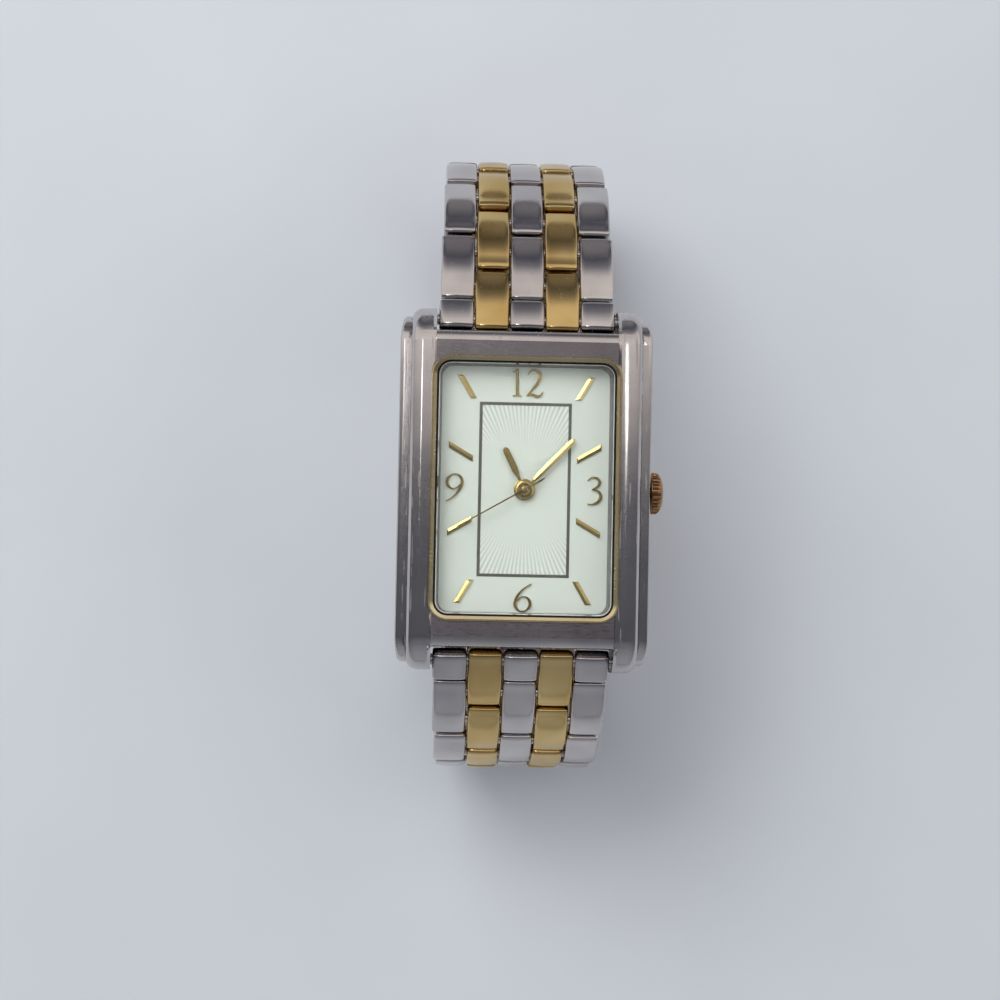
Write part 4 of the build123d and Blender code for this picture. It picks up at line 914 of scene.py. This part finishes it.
def add_stroke(bm, centre, points, bottom, top):
    """One pen stroke of a numeral: a raised ribbon whose width swells and thins."""
    run = curve_through(points)
    shoulder = top - 0.05 * MM
    loops = []
    for place, (x, y, width) in enumerate(run):
        before = run[max(0, place - 1)]
        after = run[min(len(run) - 1, place + 1)]
        length = hypot(after[0] - before[0], after[1] - before[1]) or 1
        normal = (-(after[1] - before[1]) / length, (after[0] - before[0]) / length)
        half = max(width, 0.09) / 2
        section = ((-half, bottom), (-half, shoulder), (-half * 0.55, top),
                   (half * 0.55, top), (half, shoulder), (half, bottom))
        loops.append([((centre[0] + x + normal[0] * offset) * MM, (centre[1] + y + normal[1] * offset) * MM,
                       level) for offset, level in section])
    bridge(bm, loops)


# Numeral strokes in millimetres from the numeral's centre: (right, up, width)
ONE = (((-1.08, 1.18, 0.10), (-0.95, 1.36, 0.26), (-0.95, 0.60, 0.27), (-0.93, -1.30, 0.30)),
       ((-1.42, 1.10, 0.09), (-1.20, 1.22, 0.12), (-0.95, 1.36, 0.14)),
       ((-1.40, -1.37, 0.10), (-0.93, -1.34, 0.13), (-0.48, -1.37, 0.10)))
TWO = (((0.22, 0.86, 0.10), (0.42, 1.20, 0.14), (0.86, 1.38, 0.18), (1.34, 1.10, 0.30),
        (1.44, 0.62, 0.36), (1.22, 0.06, 0.32), (0.70, -0.62, 0.22), (0.06, -1.34, 0.15)),
       ((0.06, -1.34, 0.12), (0.55, -1.20, 0.22), (1.05, -1.38, 0.28), (1.45, -1.30, 0.18),
        (1.72, -0.92, 0.09)))
SIX = (((0.90, 1.36, 0.09), (0.12, 0.86, 0.16), (-0.46, 0.18, 0.24), (-0.76, -0.56, 0.32),
        (-0.66, -1.10, 0.28), (-0.24, -1.46, 0.16), (0.32, -1.42, 0.15), (0.74, -1.00, 0.26),
        (0.76, -0.42, 0.30), (0.38, -0.02, 0.18), (-0.14, -0.04, 0.11), (-0.56, -0.44, 0.09)),)
NINE = tuple(tuple((-x, -y, width) for x, y, width in stroke) for stroke in SIX)
THREE = (((-0.66, 1.08, 0.10), (-0.30, 1.38, 0.14), (0.20, 1.40, 0.20), (0.56, 1.02, 0.31),
          (0.40, 0.50, 0.22), (-0.20, 0.16, 0.10)),
         ((-0.20, 0.16, 0.10), (0.42, 0.02, 0.20), (0.70, -0.48, 0.34), (0.44, -1.10, 0.28),
          (-0.16, -1.38, 0.16), (-0.66, -1.34, 0.12)))


def build_markers():
    """The eight hour bars and the four numerals, as one applied set."""
    low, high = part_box("hour_markers")
    bm = bmesh.new()
    for hour in (1, 2, 4, 5, 7, 8, 10, 11):
        add_baton(bm, hour, low.z, high.z)
    out_x, out_y = NUMERAL_OUT
    for strokes, centre in (((*ONE, *TWO), (0, out_y)), (SIX, (0, -out_y)), (THREE, (out_x, 0)),
                            (NINE, (-out_x, 0))):
        for stroke in strokes:
            add_stroke(bm, centre, stroke, low.z, high.z - 0.02 * MM)
    settle(piece_from(bm, "applied_markers", "cut_gilt", smooth=25), "case", "gilt", "hour_markers")


# Hands

def add_blade(bm, stations, bottom, top, turn, shoulder):
    """A ridged blade from (along, half width) stations. Its sides reach this share of its ridge's height."""
    loops = []
    lower = bottom + (top - bottom) * shoulder
    for along, half in stations:
        loop = [(-half, bottom), (-half, lower), (0, top), (half, lower), (half, bottom)]
        loops.append([turn @ Vector((x, along, 0)) + Vector((0, 0, z)) for x, z in loop])
    bridge(bm, loops)


def add_ring(bm, profile, steps=48):
    """A closed ring about the dial's centre, from a loop of (radius, height) points."""
    loops = [[(radius * cos(2 * pi * step / steps), radius * sin(2 * pi * step / steps), height)
              for radius, height in profile] for step in range(steps)]
    loops.append(loops[0])
    bridge(bm, loops, caps=False)
    bmesh.ops.remove_doubles(bm, verts=bm.verts, dist=1e-8)


def hub_profile(bore, radius, bottom, top, soft):
    """A hub's section: an upright bore, a rounded lip and a round shoulder."""
    shoulder = [(radius - soft + soft * sin(radians(a)), top - soft * 0.6 + soft * 0.6 * cos(radians(a)))
                for a in (90, 65, 40, 18, 0)]
    return [(bore, bottom), (radius, bottom), *shoulder, (bore + 0.06 * MM, top), (bore, top - 0.05 * MM)]


def build_hands():
    """The three hands: a flat hour hand, a ridged minute hand, and a thin second hand on its pin."""
    # Each as node, body, degrees clockwise from twelve, the sides' share of the ridge's height, the hub's
    # bore, radius and rounding, and the blade as (along, half width), in millimetres
    shapes = (
        ("hour_hand", "hours", 333.8, 0.97, (0.62, 1.12, 0.08), (
            (0.9, 0.15), (1.5, 0.16), (2.1, 0.30), (2.3, 0.34), (4.45, 0.34), (4.68, 0.27), (4.80, 0.16),
            (4.85, 0.04))),
        ("minute_hand", "minutes", 44.0, 0.30, (0.56, 0.98, 0.24), (
            (0.8, 0.13), (1.2, 0.15), (1.8, 0.25), (2.4, 0.31), (7.00, 0.30), (7.22, 0.23), (7.36, 0.12),
            (7.40, 0.03))),
        ("second_hand", "seconds", 240.0, 0.50, (0.05, 0.33, 0.10), (
            (-2.40, 0.03), (-2.20, 0.07), (-1.20, 0.13), (-0.80, 0.09), (0, 0.08), (7.9, 0.065),
            (8.0, 0.03))))
    for node, body, clock, shoulder, (bore, hub, soft), stations in shapes:
        low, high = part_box(node)
        turn = Matrix.Rotation(radians(-clock), 3, "Z")
        bm = bmesh.new()
        add_ring(bm, hub_profile(bore * MM, hub * MM, low.z, high.z, soft * MM))
        add_blade(bm, [(along * MM, half * MM) for along, half in stations], low.z, high.z, turn, shoulder)
        hand = piece_from(bm, node.replace("_", "_blade_", 1), "cut_gilt", smooth=25)
        settle(hand, body, "gilt", node)


# Clasp and the pieces inside

def build_clasp():
    """The cover, the two blades and their pins."""
    for node, name, body, finish in (
            ("clasp_cover", "clasp_cover_sheet", "cover", "steel"),
            ("clasp_cover_pin", "clasp_cover_hinge_pin", "cover", "steel"),
            ("clasp_outer_blade", "clasp_outer_leaf", "outer_blade", "brushed"),
            ("clasp_inner_blade", "clasp_inner_leaf", "inner_blade", "brushed"),
            ("clasp_fold_pin", "clasp_fold_hinge_pin", "inner_blade", "steel")):
        settle(soft_edged(welded(node), name, finish, sizes().sheet_edge), body, "polished_steel", node)


def dress_movement():
    """Finishes for the solids that stay, most of them sealed in the case."""
    kept = {
        "can": ("case_spring_bars", "battery", "quartz_can", "battery_clamp", "winding_stem", "motor_stator"),
        "movement": ("movement_plate", "train_bridge", "second_wheel", "third_wheel", "centre_wheel",
                     "fifth_wheel", "hour_wheel", "minute_wheel", "motor_rotor"),
        "plastic": ("movement_holder",), "board": ("circuit_board",), "wire": ("motor_coil",),
        "rubber": ("crown_gasket",)}
    for finish, nodes in kept.items():
        for node in nodes:
            mesh = frame["nodes"][node].data
            mesh.materials.clear()
            mesh.materials.append(finishes[finish])


# Stage

# The camera's place in millimetres, its turn in degrees, and its focal length in widths of the picture
CAMERA_PLACE = (-11.08, -12.58, 249.55)
CAMERA_TURN = (2.644, -2.060, 1.122)
CAMERA_FOCAL = 2.352
FLOOR_HALF = 1.6
FLOOR_GAP = 0.02 * MM


def build_stage():
    """A pale floor, a soft studio round it, four softboxes and the camera."""
    floor_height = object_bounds()[0].z - FLOOR_GAP
    bm = bmesh.new()
    bmesh.ops.create_grid(bm, x_segments=8, y_segments=8, size=FLOOR_HALF)
    bmesh.ops.translate(bm, verts=bm.verts, vec=(0, 0, floor_height))
    mesh = bpy.data.meshes.new("floor")
    bm.to_mesh(mesh)
    bm.free()
    floor = bpy.data.objects.new("floor", mesh)
    bpy.context.scene.collection.objects.link(floor)
    mesh.materials.append(floor_paint())
    floor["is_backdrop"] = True

    # The studio is dim overhead and bright in a wide band beyond that, on the twelve o'clock side
    world = bpy.data.worlds.new("studio")
    bpy.context.scene.world = world
    world.use_nodes = True
    tree = world.node_tree
    tree.nodes.clear()
    direction = add_node(tree, "ShaderNodeTexCoord").outputs["Generated"]
    facing = add_node(tree, "ShaderNodeVectorMath", {0: direction, 1: (0, 1, 0)}, operation="DOT_PRODUCT")
    share = add_node(tree, "ShaderNodeMath", {
        0: facing.outputs["Value"], 1: 0.5, 2: 0.5}, operation="MULTIPLY_ADD")
    sky = add_node(tree, "ShaderNodeValToRGB", {"Fac": share}, (
        (0.00, "#A9ACB3"), (0.10, "#9A9DA5"), (0.27, "#7E8189"), (0.42, "#5E6169"), (0.525, "#64666D"),
        (0.56, "#C9C4C2"), (0.60, "#F6F0EC"), (0.80, "#EAE4E0"), (0.88, "#8B8B92"), (0.94, "#5A5C65"),
        (0.99, "#8A888C")))
    background = add_node(tree, "ShaderNodeBackground", {"Color": sky, "Strength": 1.0})
    output = add_node(tree, "ShaderNodeOutputWorld")
    tree.links.new(background.outputs["Background"], output.inputs["Surface"])

    # Each as name, place, size, power and whether polished metal mirrors it. Only the small box overhead
    # does, and it draws a streak along each round rail
    for name, place, size, power, mirrored in (
            ("softbox_key", (-0.17, 0.24, 0.34), (0.26, 0.26), 0.95, False),
            ("softbox_left", (-0.30, 0.02, 0.30), (0.30, 0.30), 0.25, False),
            ("softbox_right", (0.34, -0.04, 0.26), (0.30, 0.30), 0.30, False),
            ("softbox_overhead", (-0.063, 0.072, 0.44), (0.045, 0.075), 0.035, True)):
        lamp = bpy.data.lights.new(name, "AREA")
        lamp.shape = "RECTANGLE"
        lamp.size, lamp.size_y = size
        lamp.energy = power
        holder = bpy.data.objects.new(name, lamp)
        holder.location = place
        holder.rotation_euler = (-Vector(place)).to_track_quat("-Z", "Y").to_euler()
        holder.visible_glossy = mirrored
        bpy.context.scene.collection.objects.link(holder)

    lens = bpy.data.cameras.new("camera")
    lens.sensor_width = 36.0
    lens.lens = lens.sensor_width * CAMERA_FOCAL
    lens.clip_start, lens.clip_end = 0.01, 10.0
    camera = bpy.data.objects.new("camera", lens)
    camera.location = Vector(CAMERA_PLACE) * MM
    camera.rotation_euler = Euler([radians(turn) for turn in CAMERA_TURN], "XYZ")
    bpy.context.scene.collection.objects.link(camera)
    bpy.context.scene.camera = camera
    bpy.context.scene.view_settings.view_transform = "Standard"


# Operators and panel

class WATCH_OT_finishes(bpy.types.Operator):
    """Make every material"""
    bl_idname = "watch.finishes"
    bl_label = "Finishes"
    bl_options = {"REGISTER", "UNDO"}

    def execute(self, context):
        make_finishes()
        return {"FINISHED"}


class WATCH_OT_case(bpy.types.Operator):
    """Build the case middle, the back and the seals"""
    bl_idname = "watch.case"
    bl_label = "Case"
    bl_options = {"REGISTER", "UNDO"}

    def execute(self, context):
        build_case()
        return {"FINISHED"}


class WATCH_OT_rim(bpy.types.Operator):
    """Build the gilt rim"""
    bl_idname = "watch.rim"
    bl_label = "Rim"
    bl_options = {"REGISTER", "UNDO"}

    def execute(self, context):
        build_rim()
        return {"FINISHED"}


class WATCH_OT_crystal(bpy.types.Operator):
    """Build the flat crystal"""
    bl_idname = "watch.crystal"
    bl_label = "Crystal"
    bl_options = {"REGISTER", "UNDO"}

    def execute(self, context):
        build_crystal()
        return {"FINISHED"}


class WATCH_OT_dial(bpy.types.Operator):
    """Dress the dial and print its frame line"""
    bl_idname = "watch.dial"
    bl_label = "Dial"
    bl_options = {"REGISTER", "UNDO"}

    def execute(self, context):
        build_dial()
        return {"FINISHED"}


class WATCH_OT_markers(bpy.types.Operator):
    """Build the hour bars and numerals"""
    bl_idname = "watch.markers"
    bl_label = "Markers"
    bl_options = {"REGISTER", "UNDO"}

    def execute(self, context):
        build_markers()
        return {"FINISHED"}


class WATCH_OT_hands(bpy.types.Operator):
    """Build the three hands"""
    bl_idname = "watch.hands"
    bl_label = "Hands"
    bl_options = {"REGISTER", "UNDO"}

    def execute(self, context):
        build_hands()
        return {"FINISHED"}


class WATCH_OT_crown(bpy.types.Operator):
    """Build the ribbed crown"""
    bl_idname = "watch.crown"
    bl_label = "Crown"
    bl_options = {"REGISTER", "UNDO"}

    def execute(self, context):
        build_crown()
        return {"FINISHED"}


class WATCH_OT_bracelet(bpy.types.Operator):
    """Build every row of links"""
    bl_idname = "watch.bracelet"
    bl_label = "Bracelet"
    bl_options = {"REGISTER", "UNDO"}

    def execute(self, context):
        build_rows()
        return {"FINISHED"}


class WATCH_OT_clasp(bpy.types.Operator):
    """Build the folding clasp"""
    bl_idname = "watch.clasp"
    bl_label = "Clasp"
    bl_options = {"REGISTER", "UNDO"}

    def execute(self, context):
        build_clasp()
        return {"FINISHED"}


class WATCH_OT_movement(bpy.types.Operator):
    """Give the sealed pieces their finishes"""
    bl_idname = "watch.movement"
    bl_label = "Movement"
    bl_options = {"REGISTER", "UNDO"}

    def execute(self, context):
        dress_movement()
        return {"FINISHED"}


class WATCH_OT_stage(bpy.types.Operator):
    """Make the floor, the lights and the camera"""
    bl_idname = "watch.stage"
    bl_label = "Stage"
    bl_options = {"REGISTER", "UNDO"}

    def execute(self, context):
        build_stage()
        return {"FINISHED"}


operators = (WATCH_OT_finishes, WATCH_OT_case, WATCH_OT_rim, WATCH_OT_crystal,
             WATCH_OT_dial, WATCH_OT_markers, WATCH_OT_hands, WATCH_OT_crown,
             WATCH_OT_bracelet, WATCH_OT_clasp, WATCH_OT_movement, WATCH_OT_stage)


class WATCH_PT_panel(bpy.types.Panel):
    """Lists the watch's building steps."""
    bl_label = "Watch"
    bl_idname = "WATCH_PT_panel"
    bl_space_type = "VIEW_3D"
    bl_region_type = "UI"
    bl_category = "Watch"

    def draw(self, context):
        for step in operators:
            self.layout.operator(step.bl_idname)
        for group in (context.scene.watch_sizes, context.scene.watch_colours):
            box = self.layout.box()
            for name in group.__annotations__:
                box.prop(group, name)


classes = (WatchSizes, WatchColours, *operators, WATCH_PT_panel)


def register():
    """Add the classes, and the sizes and colours to every scene."""
    for item in classes:
        bpy.utils.register_class(item)
    bpy.types.Scene.watch_sizes = bpy.props.PointerProperty(type=WatchSizes)
    bpy.types.Scene.watch_colours = bpy.props.PointerProperty(type=WatchColours)


def unregister():
    """Take the sizes, the colours and the classes away again."""
    del bpy.types.Scene.watch_colours
    del bpy.types.Scene.watch_sizes
    for item in reversed(classes):
        bpy.utils.unregister_class(item)


def main():
    """Build the watch step by step."""
    register()
    for step in operators:
        group, name = step.bl_idname.split(".")
        getattr(getattr(bpy.ops, group), name)()


if __name__ == "__main__":
    main()
